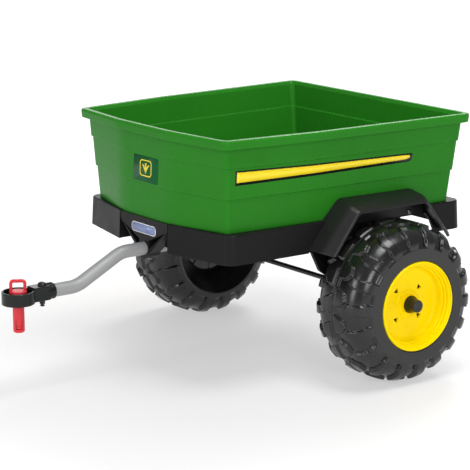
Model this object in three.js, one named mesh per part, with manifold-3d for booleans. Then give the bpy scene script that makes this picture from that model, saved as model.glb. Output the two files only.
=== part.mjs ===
// Two-wheeled ride-on tractor trailer: moulded tub on a black chassis tray, cranked steel
// drawbar with a ring coupler and a lift-out hitch pin, and two blow-moulded wheels on a
// fixed steel axle.
//
// Millimetres. +X points forward to the hitch, +Y to the trailer's left, +Z up. The origin is
// on the floor below the middle of the whole trailer. Inside the `trailer` group, X is
// measured from the axle.

import * as THREE from 'three';
import { mergeVertices } from 'three/addons/utils/BufferGeometryUtils.js';
import Module from 'manifold-3d';

const wasm = await Module();
wasm.setup();

// ---------------------------------------------------------------- driving dimensions

const FIT = 0.3; // gap between neighbouring parts
const CHASSIS_REAR = 226;
const SKIRT_FLARE = 2.5;
const RING_X = 624;
const RING_RADIUS = 30;
const AXLE_X = -(RING_X + RING_RADIUS - CHASSIS_REAR - SKIRT_FLARE) / 2;

const wheel = {
  radius: 150,
  halfWidth: 70,
  midY: 307,
  segments: 36,
  sidewallRadius: 121,
  hubSeatRadius: 84.5,
  recessRadius: 102,
  recessDepth: 44,
  boreRadius: 8,
};

const axle = { radius: 5, halfLength: 366, z: wheel.radius };

// Plan of the tub wall at two heights; tiers and lip are offsets from it.
const tubFoot = {
  z: 304, front: 312, frontHalf: 212, bow: 34, bend: 139, bendHalf: 225, rear: -199, rearHalf: 236,
};
const tubHead = {
  z: 456, front: 321, frontHalf: 221, bow: 18, bend: 143, bendHalf: 243, rear: -205, rearHalf: 258,
};
const tub = {
  bottomZ: 290,
  floorZ: 294,
  wall: 3,
  tierStep: 2.5,
  tierZ: [361, 419],
  lipOut: 17,
  lipBottomZ: 457,
  topZ: 474,
};
const CENTRE_PANEL_HALF = 80; // half width of the flat middle of the bowed front

const chassis = {
  front: 351, cornerX: 321, frontHalf: 231, rear: -CHASSIS_REAR, rearHalf: 245,
  bottomZ: 245, topZ: 300, deckTopZ: 289.6, deckBottomZ: 284.5, wall: 4,
};

const nose = { backX: 326.5, shoulderZ: 285, bossRadius: 20, screwX: 338 };
const tube = {
  radius: 12.5, bore: 10.8, sides: 14,
  rearX: 190, highZ: 240, lowZ: 190, crankTopX: 402, crankFootX: 500, endX: 588, bendRadius: 60,
};
const saddle = { x: 205, halfLength: 15, halfWidth: 34, earZ: 279, footZ: 224, screwY: 26 };

const coupler = {
  ringBottomZ: 176.5, ringTopZ: 200, ringWall: 3.5, webBottomZ: 186, webTopZ: 190.5,
  neckHalf: 14.8, neckRearX: 562, collarRearX: 544, collarRadius: 16.5, boltX: 574,
};
const pin = {
  radius: 10.5, bottomZ: 124, flangeRadius: 16, flangeThickness: 4,
  loopHalfWidth: 15, loopTopZ: 222, loopBar: 3, turnDegrees: 60,
};

const fender = {
  centreX: -14, thickness: 4,
  inner: { y: 226, z: 339.5, topHalf: 87, footHalf: 160, footZ: 252 },
  crease: { y: 270, z: 330.5, topHalf: 90, footHalf: 156, footZ: 250 },
  lip: { y: 290, z: 322, topHalf: 84, footHalf: 142, footZ: 245 },
  lipDrop: 4,
  webBottomZ: 289,
  webHalfLength: 108,
  webGap: 0.4,
  webThickness: 5,
};

const bracket = {
  innerY: 221, outerY: 228, bossRadius: 16, bossInnerY: 208, flangeInnerY: 198, screwY: 207,
  rearX: -86, frontX: 140, footRadius: 24,
};

const TUB_SCREWS = [[240, 140], [240, -140], [-120, 150], [-120, -150]];
const FENDER_SCREW_X = [60, -88];
const BRACKET_SCREW_X = [112, -66];
const FENDER_SCREW_Z = 294.5;
const HUB_FACE_Y = 48; // outer end of the hub boss, from the wheel's mid-plane
const SCREW_HOLE_RADIUS = 2.8;
const BOLT_HOLE_RADIUS = 3.4;

// ---------------------------------------------------------------- materials

const finish = {
  tub: new THREE.MeshStandardMaterial({ color: 0x2f7d28, roughness: 0.35, metalness: 0 }),
  chassis: new THREE.MeshStandardMaterial({ color: 0x2b2b2d, roughness: 0.5, metalness: 0 }),
  tyre: new THREE.MeshStandardMaterial({ color: 0x1c1c1d, roughness: 0.38, metalness: 0 }),
  hub: new THREE.MeshStandardMaterial({ color: 0xf6cf06, roughness: 0.3, metalness: 0 }),
  cap: new THREE.MeshStandardMaterial({ color: 0x101213, roughness: 0.35, metalness: 0 }),
  drawbar: new THREE.MeshStandardMaterial({ color: 0xc9cacb, roughness: 0.35, metalness: 0.6 }),
  coupler: new THREE.MeshStandardMaterial({ color: 0x1d1f1f, roughness: 0.3, metalness: 0 }),
  pin: new THREE.MeshStandardMaterial({ color: 0xd8242f, roughness: 0.4, metalness: 0 }),
  steel: new THREE.MeshStandardMaterial({ color: 0x8e9092, roughness: 0.35, metalness: 0.9 }),
  darkSteel: new THREE.MeshStandardMaterial({ color: 0x222324, roughness: 0.4, metalness: 0.8 }),
  bush: new THREE.MeshStandardMaterial({ color: 0xe4e2da, roughness: 0.5, metalness: 0 }),
};

const trailer = new THREE.Group();
trailer.position.x = AXLE_X;

// ---------------------------------------------------------------- geometry helpers

/** Turns a closed three.js geometry into a manifold solid. */
function solid(geometry) {
  const bare = geometry.clone();
  bare.deleteAttribute('normal');
  bare.deleteAttribute('uv');
  const merged = mergeVertices(bare, 1e-4);
  const vertProperties = Float32Array.from(merged.attributes.position.array);
  const triVerts = Uint32Array.from(merged.index.array);
  if (signedVolume(vertProperties, triVerts) < 0) triVerts.reverse();
  const mesh = new wasm.Mesh({ numProp: 3, vertProperties, triVerts });
  mesh.merge();
  return new wasm.Manifold(mesh);
}

function signedVolume(points, triangles) {
  const [a, b, c] = [new THREE.Vector3(), new THREE.Vector3(), new THREE.Vector3()];
  let volume = 0;
  for (let i = 0; i < triangles.length; i += 3) {
    a.fromArray(points, 3 * triangles[i]);
    b.fromArray(points, 3 * triangles[i + 1]);
    c.fromArray(points, 3 * triangles[i + 2]);
    volume += a.dot(b.cross(c)) / 6;
  }
  return volume;
}

/** Adds one named mesh to the trailer from a manifold solid. */
function addPart(name, body, material, parent = trailer) {
  const { vertProperties, triVerts } = body.getMesh();
  const geometry = new THREE.BufferGeometry();
  geometry.setAttribute('position', new THREE.BufferAttribute(vertProperties, 3));
  geometry.setIndex(new THREE.BufferAttribute(triVerts, 1));
  const mesh = new THREE.Mesh(geometry, material);
  mesh.name = name;
  parent.add(mesh);
  return mesh;
}

/** Rounds the corners {x, y, r} of a closed outline, `steps` chords to each corner. */
function roundCorners(corners, steps) {
  const points = [];
  corners.forEach((corner, i) => {
    const here = new THREE.Vector2(corner.x, corner.y);
    const before = corners[(i + corners.length - 1) % corners.length];
    const after = corners[(i + 1) % corners.length];
    const back = new THREE.Vector2(before.x, before.y).sub(here).normalize();
    const on = new THREE.Vector2(after.x, after.y).sub(here).normalize();
    const half = Math.acos(THREE.MathUtils.clamp(back.dot(on), -1, 1)) / 2;
    const centre = back.clone().add(on).setLength(corner.r / Math.sin(half)).add(here);
    const reach = corner.r / Math.tan(half);
    const start = here.clone().addScaledVector(back, reach).sub(centre);
    const end = here.clone().addScaledVector(on, reach).sub(centre);
    const turn = Math.atan2(start.cross(end), start.dot(end));
    for (let k = 0; k <= steps; k += 1) {
      points.push(start.clone().rotateAround(new THREE.Vector2(), (turn * k) / steps).add(centre));
    }
  });
  return points;
}

/** Closed body through rings of equal point count, capped flat at both ends. */
function skin(rings) {
  const count = rings[0].length;
  const positions = rings.flat().flatMap((p) => p.toArray());
  const index = [];
  for (let r = 0; r + 1 < rings.length; r += 1) {
    for (let i = 0; i < count; i += 1) {
      const a = r * count + i;
      const b = r * count + ((i + 1) % count);
      index.push(a, b, b + count, a, b + count, a + count);
    }
  }
  const last = (rings.length - 1) * count;
  capTriangles(rings[0]).forEach(([a, b, c]) => index.push(a, c, b));
  capTriangles(rings.at(-1)).forEach(([a, b, c]) => index.push(last + a, last + b, last + c));
  const geometry = new THREE.BufferGeometry();
  geometry.setAttribute('position', new THREE.Float32BufferAttribute(positions, 3));
  geometry.setIndex(index);
  return solid(geometry);
}

/** Triangles over a planar ring, turning the same way as the ring itself. */
function capTriangles(ring) {
  const normal = new THREE.Vector3();
  ring.forEach((p, i) => normal.add(p.clone().cross(ring[(i + 1) % ring.length])));
  const side = ring[1].clone().sub(ring[0]).normalize();
  const up = normal.normalize().clone().cross(side);
  const flat = ring.map((p) => new THREE.Vector2(p.dot(side), p.dot(up)));
  return THREE.ShapeUtils.triangulateShape(flat, []);
}

const level = (outline, z) => outline.map((p) => new THREE.Vector3(p.x, p.y, z));

/** Upright prism over an (x, y) outline. */
const prism = (outline, z0, z1) => skin([level(outline, z0), level(outline, z1)]);

/** Prism over an outline in the (x, z) plane, running along Y. */
function sidePrism(outline, y0, y1) {
  const ring = (y) => outline.map(([x, z]) => new THREE.Vector3(x, y, z));
  return skin([ring(y0), ring(y1)]);
}

/** Prism over an outline in the (y, z) plane, running along X. */
function frontPrism(outline, x0, x1) {
  const ring = (x) => outline.map(([y, z]) => new THREE.Vector3(x, y, z));
  return skin([ring(x0), ring(x1)]);
}

function block(x0, x1, y0, y1, z0, z1) {
  const box = new THREE.BoxGeometry(x1 - x0, y1 - y0, z1 - z0);
  box.translate((x0 + x1) / 2, (y0 + y1) / 2, (z0 + z1) / 2);
  return solid(box);
}

/** Turned body: profile of [radius, height] pairs, starting and ending on the axis or closed. */
function turned(profile, segments, closed = false) {
  const points = profile.map(([r, h]) => new THREE.Vector2(r, h));
  if (closed) points.push(points[0].clone());
  return new THREE.LatheGeometry(points, segments);
}

/** Round bar between two stations along 'x', 'y' or 'z', centred on `at`. */
function rod(axisName, from, to, radius, at, segments = 20) {
  const bar = new THREE.CylinderGeometry(radius, radius, to - from, segments);
  bar.translate(0, (from + to) / 2, 0);
  if (axisName === 'x') bar.rotateZ(-Math.PI / 2);
  if (axisName === 'z') bar.rotateX(Math.PI / 2);
  bar.translate(at.x ?? 0, at.y ?? 0, at.z ?? 0);
  return solid(bar);
}

/** Ring-shaped piece around the axle between two Y stations. */
function axleRing(innerRadius, outerRadius, y0, y1, segments = 14) {
  const profile = [[innerRadius, y0], [outerRadius, y0], [outerRadius, y1], [innerRadius, y1]];
  const ring = turned(profile, segments, true);
  ring.translate(0, 0, axle.z);
  return solid(ring);
}

/** Pan-head screw driven upwards, its head below a seat at height `seatZ`. */
function upright(x, y, seatZ, length, headRadius = 5.5, headHeight = 2.8) {
  const profile = [
    [0, headHeight], [headRadius * 0.6, headHeight], [headRadius, 0], [2.3, 0], [2.3, -length],
    [0, -length],
  ];
  const body = turned(profile, 10);
  body.rotateX(-Math.PI / 2);
  body.translate(x, y, seatZ);
  return solid(body);
}

const hole = (x, y, z0, z1, radius = SCREW_HOLE_RADIUS) => rod('z', z0, z1, radius, { x, y }, 10);

// ---------------------------------------------------------------- tub

/** Tub outline at height z, moved outwards by `offset`. */
function tubPlan(z, offset) {
  const t = (z - tubFoot.z) / (tubHead.z - tubFoot.z);
  const mix = (key) => THREE.MathUtils.lerp(tubFoot[key], tubHead[key], t);
  const cornerRadius = Math.max(8 + 0.6 * offset, 4);
  const centreX = mix('front') + mix('bow') + offset;
  const half = [
    { x: centreX, y: CENTRE_PANEL_HALF, r: 260 },
    { x: mix('front') + offset, y: mix('frontHalf') + offset, r: cornerRadius },
    { x: mix('bend'), y: mix('bendHalf') + offset, r: 200 },
    { x: mix('rear') - offset, y: mix('rearHalf') + offset, r: cornerRadius },
  ];
  const mirrored = half.map((c) => ({ ...c, y: -c.y })).reverse();
  return roundCorners([...half, ...mirrored], 3);
}

const tubRing = (z, offset) => level(tubPlan(z, offset), z);

function makeTub() {
  const [lowStep, highStep] = tub.tierZ;
  const step = tub.tierStep;
  const wallTop = 2 * step;
  const inner = -tub.wall;
  const rings = [
    tubRing(tub.bottomZ, -6), tubRing(tub.bottomZ + 1.5, -2), tubRing(tub.bottomZ + 6, 0),
    tubRing(lowStep, 0), tubRing(lowStep + 1.5, step),
    tubRing(highStep, step), tubRing(highStep + 1.5, wallTop),
    tubRing(tub.lipBottomZ, wallTop), tubRing(tub.lipBottomZ, tub.lipOut),
    tubRing(tub.topZ - 6, tub.lipOut), tubRing(tub.topZ - 1.5, tub.lipOut - 2),
    tubRing(tub.topZ, tub.lipOut - 6), tubRing(tub.topZ, wallTop + 2),
    tubRing(tub.topZ - 2, wallTop - 1), tubRing(tub.topZ - 8, wallTop + inner),
    tubRing(highStep + 4.5, wallTop + inner), tubRing(highStep + 3, step + inner),
    tubRing(lowStep + 4.5, step + inner), tubRing(lowStep + 3, inner),
    tubRing(tub.floorZ + 6, inner), tubRing(tub.floorZ + 1.5, inner - 2),
    tubRing(tub.floorZ, inner - 6),
  ];
  let body = skin(rings);
  for (const [x, y] of TUB_SCREWS) {
    body = body.subtract(hole(x, y, tub.bottomZ - 1, tub.floorZ - 0.8));
  }
  return body;
}

/** The space the tub takes, with a little room all round. */
function tubSpace(room) {
  const lift = room + tub.tierStep;
  return skin([
    tubRing(tub.bottomZ - room, room), tubRing(tub.tierZ[0] - 1, room),
    tubRing(tub.tierZ[0] - 1, lift), tubRing(tub.tierZ[1], lift),
  ]);
}

addPart('tub', makeTub(), finish.tub);

// ---------------------------------------------------------------- chassis tray

/** Chassis outline moved outwards by `offset`. */
function chassisPlan(offset) {
  const half = [
    { x: chassis.front + offset, y: CENTRE_PANEL_HALF, r: 6 },
    { x: chassis.cornerX + offset, y: chassis.frontHalf + offset, r: 22 + offset },
    { x: chassis.rear - offset, y: chassis.rearHalf + offset, r: 20 + offset },
  ];
  const mirrored = half.map((c) => ({ ...c, y: -c.y })).reverse();
  return roundCorners([...half, ...mirrored], 4);
}

const chassisRing = (z, offset) => level(chassisPlan(offset), z);

function chassisEnvelope(room) {
  return skin([
    chassisRing(chassis.bottomZ - room, SKIRT_FLARE + room), chassisRing(chassis.topZ - 2, room),
    chassisRing(chassis.topZ + room, room - 1.5),
  ]);
}

/** Half width of the chassis side at x. */
function chassisSideY(x) {
  const t = (chassis.cornerX - x) / (chassis.cornerX - chassis.rear);
  return THREE.MathUtils.lerp(chassis.frontHalf, chassis.rearHalf, t);
}

function makeChassis() {
  const { wall } = chassis;
  const below = chassis.bottomZ - 5;
  const cavity = prism(chassisPlan(-wall), below, chassis.deckBottomZ);
  const ribDepth = 8;
  let ribs = block(-220, 320, -2, 2, chassis.deckBottomZ - ribDepth, chassis.deckBottomZ);
  for (const x of [-60, 110]) {
    const halfWidth = chassisSideY(x) - 2;
    ribs = ribs.add(block(x - 2, x + 2, -halfWidth, halfWidth,
      chassis.deckBottomZ - ribDepth, chassis.deckBottomZ));
  }
  for (const y of [-110, 110]) {
    ribs = ribs.add(block(-222, 318, y - 2, y + 2,
      chassis.deckBottomZ - ribDepth, chassis.deckBottomZ));
  }
  const noseBay = block(nose.backX - FIT, chassis.front + 10, -CENTRE_PANEL_HALF, CENTRE_PANEL_HALF,
    below, chassis.topZ + 5);
  const backPanel = block(nose.backX - wall - FIT, nose.backX - FIT, -CENTRE_PANEL_HALF - wall,
    CENTRE_PANEL_HALF + wall, chassis.bottomZ, chassis.deckTopZ);
  const cheek = (side) => block(nose.backX - wall, chassis.front - 6,
    Math.min(side * CENTRE_PANEL_HALF, side * (CENTRE_PANEL_HALF + wall)),
    Math.max(side * CENTRE_PANEL_HALF, side * (CENTRE_PANEL_HALF + wall)),
    chassis.bottomZ, chassis.deckTopZ);
  let body = chassisEnvelope(0).subtract(cavity).add(ribs).subtract(noseBay);
  body = body.add(backPanel).add(cheek(1)).add(cheek(-1));
  body = body.subtract(tubSpace(0.5));
  const archOutline = [[-160, below], [150, below], [128, 270], [116, 285], [-134, 285], [-146, 270]];
  for (const side of [1, -1]) {
    const y0 = side > 0 ? 232 : -260;
    body = body.subtract(sidePrism(archOutline, y0, y0 + 28));
    for (const x of BRACKET_SCREW_X) {
      body = body.subtract(hole(x, side * bracket.screwY, chassis.deckBottomZ - 1, chassis.deckTopZ + 1));
    }
    for (const x of FENDER_SCREW_X) {
      const y = side * chassisSideY(x);
      body = body.subtract(rod('y', y - 12, y + 12, SCREW_HOLE_RADIUS, { x, z: FENDER_SCREW_Z }, 10));
    }
  }
  // Rib ends and corners give way to the axle brackets, the drawbar and its saddle.
  for (const side of [1, -1]) {
    const y0 = side > 0 ? bracket.flangeInnerY - 1 : -bracket.outerY - 3;
    body = body.subtract(block(-100, 152, y0, y0 + 34, below, chassis.deckBottomZ - 0.01));
  }
  body = body.subtract(block(saddle.x - saddle.halfLength - 1, saddle.x + saddle.halfLength + 1,
    -saddle.halfWidth - 1, saddle.halfWidth + 1, below, chassis.deckBottomZ - 0.01));
  body = body.subtract(rod('x', 180, 330, tube.radius + 0.8, { z: tube.highZ }));
  for (const side of [1, -1]) {
    body = body.subtract(hole(saddle.x, side * saddle.screwY, chassis.deckBottomZ - 1,
      chassis.deckTopZ + 1));
  }
  for (const [x, y] of TUB_SCREWS) {
    body = body.subtract(hole(x, y, chassis.deckBottomZ - 1, chassis.deckTopZ + 1));
  }
  return body;
}

addPart('chassis_tray', makeChassis(), finish.chassis);

TUB_SCREWS.forEach(([x, y], i) => {
  addPart(`tub_screw_${i + 1}`, upright(x, y, chassis.deckBottomZ - FIT, 8.5, 5), finish.steel);
});

// ---------------------------------------------------------------- drawbar nose, tube and saddle

function makeNose() {
  const half = CENTRE_PANEL_HALF - 0.8;
  const boss = [];
  for (let k = 0; k <= 10; k += 1) {
    const angle = Math.PI * (1 + 0.12) + (Math.PI * (1 - 0.24) * k) / 10;
    boss.push([nose.bossRadius * Math.cos(angle), tube.highZ + nose.bossRadius * Math.sin(angle)]);
  }
  const outline = [[half, nose.shoulderZ], [half, chassis.topZ - 1], [-half, chassis.topZ - 1],
    [-half, nose.shoulderZ], ...boss];
  let body = frontPrism(outline, nose.backX, chassis.front);
  body = body.subtract(tubSpace(0.8));
  body = body.subtract(rod('x', 300, 370, tube.radius + FIT, { z: tube.highZ }));
  return body.subtract(hole(nose.screwX, 0, 215, tube.highZ));
}

addPart('drawbar_nose', makeNose(), finish.chassis);

/** Stations along the cranked drawbar centre line, with its two bends as arcs. */
function tubeStations() {
  const slope = Math.atan2(tube.highZ - tube.lowZ, tube.crankFootX - tube.crankTopX);
  const reach = tube.bendRadius * Math.tan(slope / 2);
  const steps = 4;
  const stations = [{ x: tube.rearX, z: tube.highZ, angle: 0 }];
  for (let k = 0; k <= steps; k += 1) {
    const angle = (slope * k) / steps;
    stations.push({
      x: tube.crankTopX - reach + tube.bendRadius * Math.sin(angle),
      z: tube.highZ - tube.bendRadius * (1 - Math.cos(angle)),
      angle,
    });
  }
  for (let k = steps; k >= 0; k -= 1) {
    const angle = (slope * k) / steps;
    stations.push({
      x: tube.crankFootX + reach - tube.bendRadius * Math.sin(angle),
      z: tube.lowZ + tube.bendRadius * (1 - Math.cos(angle)),
      angle,
    });
  }
  stations.push({ x: tube.endX, z: tube.lowZ, angle: 0 });
  return stations;
}

function sweepTube(radius, overrun) {
  const rings = tubeStations().map(({ x, z, angle }, i, all) => {
    const shift = i === 0 ? -overrun : i === all.length - 1 ? overrun : 0;
    return Array.from({ length: tube.sides }, (_, k) => {
      const phi = (2 * Math.PI * (k + 0.5)) / tube.sides;
      const rise = radius * Math.sin(phi);
      return new THREE.Vector3(x + shift + rise * Math.sin(angle), radius * Math.cos(phi),
        z + rise * Math.cos(angle));
    });
  });
  return skin(rings);
}

function makeTube() {
  let body = sweepTube(tube.radius, 0).subtract(sweepTube(tube.bore, 2));
  body = body.subtract(hole(coupler.boltX, 0, 170, 210, BOLT_HOLE_RADIUS));
  return body.subtract(hole(nose.screwX, 0, 215, tube.highZ));
}

addPart('drawbar_tube', makeTube(), finish.drawbar);
addPart('nose_screw', upright(nose.screwX, 0, tube.highZ - nose.bossRadius - FIT, 16), finish.steel);

function makeSaddle() {
  const { halfWidth, earZ, footZ, halfLength, screwY, x } = saddle;
  const top = chassis.deckBottomZ - FIT;
  const right = [[halfWidth, top], [halfWidth, earZ], [20, earZ], [18, footZ + 8], [10, footZ]];
  const outline = [...right.toReversed(), ...right.map(([y, z]) => [-y, z])];
  let body = frontPrism(outline, x - halfLength, x + halfLength);
  body = body.subtract(rod('x', x - 30, x + 30, tube.radius + FIT, { z: tube.highZ }));
  for (const side of [1, -1]) {
    body = body.subtract(hole(x, side * screwY, earZ - 1, top + 1));
  }
  return body;
}

addPart('drawbar_saddle', makeSaddle(), finish.chassis);
for (const [label, side] of [['left', 1], ['right', -1]]) {
  addPart(`saddle_screw_${label}`,
    upright(saddle.x, side * saddle.screwY, saddle.earZ - FIT, 9.5, 5), finish.steel);
}

// ---------------------------------------------------------------- coupler and its bolt

function makeCoupler() {
  const { ringBottomZ, ringTopZ, ringWall, webBottomZ, webTopZ, neckHalf } = coupler;
  const inside = RING_RADIUS - ringWall;
  const webHole = pin.radius + 0.5;
  const profile = [
    [RING_RADIUS - 1, ringBottomZ], [RING_RADIUS, ringBottomZ + 1.5], [RING_RADIUS, ringTopZ - 1.5],
    [RING_RADIUS - 1, ringTopZ], [inside, ringTopZ], [inside, webTopZ], [webHole, webTopZ],
    [webHole, webBottomZ], [inside, webBottomZ], [inside, ringBottomZ],
  ];
  const ring = turned(profile, 32, true);
  ring.rotateX(Math.PI / 2);
  ring.translate(RING_X, 0, 0);
  const neck = block(coupler.neckRearX, RING_X - inside - 1, -neckHalf, neckHalf,
    tube.lowZ - neckHalf, tube.lowZ + neckHalf);
  const collar = rod('x', coupler.collarRearX, coupler.neckRearX + 4, coupler.collarRadius,
    { z: tube.lowZ }, 24);
  const ringRoom = rod('z', webTopZ, 215, inside, { x: RING_X }, 32);
  const underRoom = rod('z', 170, webBottomZ, inside, { x: RING_X }, 32);
  let body = neck.add(collar).subtract(ringRoom).subtract(underRoom).add(solid(ring));
  body = body.subtract(rod('x', coupler.collarRearX - 5, tube.endX + 1, tube.radius + FIT,
    { z: tube.lowZ }));
  return body.subtract(hole(coupler.boltX, 0, 170, 210, BOLT_HOLE_RADIUS));
}

addPart('hitch_coupler', makeCoupler(), finish.coupler);

const neckTopZ = tube.lowZ + coupler.neckHalf;
const neckBottomZ = tube.lowZ - coupler.neckHalf;

function makeCouplerBolt() {
  const seat = neckTopZ + FIT;
  const profile = [
    [0, seat + 6], [3.5, seat + 5.6], [6.5, seat + 3.6], [8, seat + 1.2], [8, seat],
    [3, seat], [3, neckBottomZ - 12.5], [2.4, neckBottomZ - 13], [0, neckBottomZ - 13],
  ];
  const bolt = turned(profile, 14);
  bolt.rotateX(Math.PI / 2);
  bolt.translate(coupler.boltX, 0, 0);
  return solid(bolt);
}

function boltRing(outerRadius, segments, z0, z1) {
  const outside = rod('z', z0, z1, outerRadius, { x: coupler.boltX }, segments);
  return outside.subtract(hole(coupler.boltX, 0, z0 - 1, z1 + 1, 3.3));
}

addPart('coupler_bolt', makeCouplerBolt(), finish.darkSteel);
addPart('coupler_washer', boltRing(7, 14, neckBottomZ - 1.8, neckBottomZ - FIT), finish.darkSteel);
addPart('coupler_nut', boltRing(5.9, 6, neckBottomZ - 7.4, neckBottomZ - 2.1), finish.darkSteel);
addPart('coupler_bolt_clip', boltRing(4.6, 12, neckBottomZ - 11.6, neckBottomZ - 10.2),
  finish.darkSteel);

// ---------------------------------------------------------------- hitch pin

/** Arched outline of the handle loop in its own (y, z) plane, grown by `out`. */
function loopOutline(out, footZ) {
  const half = pin.loopHalfWidth - pin.loopBar + out;
  const top = pin.loopTopZ - pin.loopBar + out;
  const radius = 8 + out;
  const points = [[half, footZ]];
  for (const [centreY, from] of [[half - radius, 0], [radius - half, Math.PI / 2]]) {
    for (let k = 0; k <= 3; k += 1) {
      const angle = from + (Math.PI * k) / 6;
      points.push([centreY + radius * Math.cos(angle), top - radius + radius * Math.sin(angle)]);
    }
  }
  points.push([-half, footZ]);
  return points;
}

function makePin() {
  const seatZ = coupler.webTopZ + FIT;
  const topZ = seatZ + pin.flangeThickness;
  const profile = [
    [0, topZ + 1], [pin.flangeRadius - 3, topZ], [pin.flangeRadius, topZ - 1.5],
    [pin.flangeRadius, seatZ], [pin.radius, seatZ], [pin.radius, pin.bottomZ + 3],
    [pin.radius - 1, pin.bottomZ + 1], [pin.radius - 3, pin.bottomZ], [0, pin.bottomZ],
  ];
  const shaft = turned(profile, 24);
  shaft.rotateX(Math.PI / 2);
  const half = pin.loopBar;
  const loop = frontPrism(loopOutline(pin.loopBar, topZ - 1), -half, half)
    .subtract(frontPrism(loopOutline(-pin.loopBar, topZ - 3), -half - 1, half + 1));
  // A sprung tongue, cut free on three sides, clicks the pin home.
  const window = block(pin.radius - 5, pin.radius + 2, -6, 6, pin.bottomZ + 6, pin.bottomZ + 24);
  const tongue = block(pin.radius - 4.5, pin.radius - 1.5, -4.4, 4.4, pin.bottomZ + 8, pin.bottomZ + 26);
  const barb = block(pin.radius - 2.5, pin.radius + 0.4, -3, 3, pin.bottomZ + 8, pin.bottomZ + 12);
  const slot = rod('z', pin.bottomZ - 2, pin.bottomZ + 50, 5, {}, 10);
  const body = solid(shaft).add(loop).subtract(slot).subtract(window);
  return body.add(tongue).add(barb);
}

const pinGroup = new THREE.Group();
pinGroup.position.x = RING_X;
pinGroup.rotation.z = THREE.MathUtils.degToRad(pin.turnDegrees);
trailer.add(pinGroup);
addPart('hitch_pin', makePin(), finish.pin, pinGroup);

// ---------------------------------------------------------------- fenders

/** One edge line of the fender: foot, top, top, foot, at its own Y. */
function fenderLine({ y, z, topHalf, footHalf, footZ }, drop = 0) {
  const at = (dx, height) => new THREE.Vector3(fender.centreX + dx, y, height - drop);
  return [at(footHalf, footZ), at(topHalf, z), at(-topHalf, z), at(-footHalf, footZ)];
}

function makeFender() {
  const { inner, crease, lip, thickness, lipDrop } = fender;
  const inset = (line, by) => ({
    ...line, z: line.z - by, topHalf: line.topHalf - by * 0.5, footHalf: line.footHalf - by * 1.3,
  });
  const outsideLines = [inner, crease, lip].map((line) => fenderLine(line));
  const lipFoot = fenderLine({ ...lip, z: lip.z - lipDrop, topHalf: lip.topHalf - lipDrop * 0.5,
    footHalf: lip.footHalf - lipDrop * 1.3 });
  const lipBack = lipFoot.map((p) => p.clone().setY(p.y - 3));
  const insideLines = [crease, inner].map((line) => fenderLine(inset(line, thickness)));
  const lines = [...outsideLines, lipFoot, lipBack, ...insideLines];
  const rings = [0, 1, 2, 3].map((station) => lines.map((line) => line[station]));
  let body = skin(rings);
  body = body.subtract(tubSpace(0.6)).subtract(chassisEnvelope(0.4));
  const webX = [fender.centreX + fender.webHalfLength, fender.centreX - fender.webHalfLength];
  const webOut = fender.webGap + fender.webThickness;
  const web = prism(
    [[webX[1], fender.webGap], [webX[0], fender.webGap], [webX[0], webOut], [webX[1], webOut]].map(
      ([x, out]) => new THREE.Vector2(x, chassisSideY(x) + SKIRT_FLARE * 0.3 + out),
    ),
    fender.webBottomZ, inner.z,
  );
  const under = skin([0, 1, 2, 3].map((station) => {
    const line = fenderLine(inset(inner, thickness * 0.5))[station];
    return [[-40, 8], [60, -12], [60, -160], [-40, -160]].map(
      ([dy, dz]) => new THREE.Vector3(line.x, line.y + dy, line.z + dz),
    );
  }));
  body = body.add(web.intersect(under).subtract(tubSpace(0.6)).subtract(chassisEnvelope(0.4)));
  for (const x of FENDER_SCREW_X) {
    body = body.subtract(rod('y', 230, 252, SCREW_HOLE_RADIUS, { x, z: FENDER_SCREW_Z }, 10));
  }
  return body;
}

/** Screw pointing inwards along Y through the fender web. */
function fenderScrew(x) {
  const seat = chassisSideY(x) + SKIRT_FLARE * 0.3 + fender.webGap + fender.webThickness + FIT;
  const body = turned([[0, 2.6], [2.8, 2.6], [4.6, 0], [2.3, 0], [2.3, -9], [0, -9]], 10);
  body.translate(x, seat, FENDER_SCREW_Z);
  return solid(body);
}

// ---------------------------------------------------------------- axle brackets

function makeBracket() {
  const { innerY, outerY, bossRadius, bossInnerY, flangeInnerY, rearX, frontX } = bracket;
  const top = chassis.deckBottomZ - FIT;
  const foot = [];
  for (let k = 0; k <= 6; k += 1) {
    const angle = -Math.PI * (0.85 - (0.7 * k) / 6);
    foot.push([bracket.footRadius * Math.cos(angle), axle.z + bracket.footRadius * Math.sin(angle)]);
  }
  const outline = [[rearX, top], ...foot, [112, 205], [134, 249], [frontX, top]];
  const leg = sidePrism(outline, innerY, outerY);
  const flange = block(rearX, frontX, flangeInnerY, outerY, top - 4, top);
  const boss = rod('y', bossInnerY, outerY + 2, bossRadius, { z: axle.z }, 20);
  let body = leg.add(flange).add(boss);
  body = body.subtract(rod('y', bossInnerY - 2, outerY + 5, axle.radius + FIT, { z: axle.z }));
  for (const x of BRACKET_SCREW_X) {
    body = body.subtract(hole(x, bracket.screwY, top - 6, top + 1));
  }
  return body;
}

// ---------------------------------------------------------------- wheels

/** Blow-moulded tyre: hollow shell, open at the hub seat and at the bore. */
function makeTyre() {
  const { radius, halfWidth: w, sidewallRadius, hubSeatRadius, recessRadius, recessDepth } = wheel;
  const disc = -w + recessDepth;
  const bossEnd = disc - 8;
  const profile = [
    [hubSeatRadius, w], [sidewallRadius, w], [radius - 8, 50], [radius, 28], [radius, 4],
    [radius - 8, 0],
    [radius, -4], [radius, -28], [radius - 8, -50], [sidewallRadius, -w], [recessRadius, -w],
    [58, disc], [32, disc], [30, bossEnd], [wheel.boreRadius, bossEnd],
    [wheel.boreRadius, disc + 6], [34, disc + 6], [60, disc + 5],
    [recessRadius + 2, 5 - w], [sidewallRadius - 3, 5 - w], [radius - 13, -47], [radius - 13, 47],
    [sidewallRadius - 3, w - 5], [hubSeatRadius, w - 5],
  ];
  return solid(turned(profile, wheel.segments, true));
}

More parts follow.
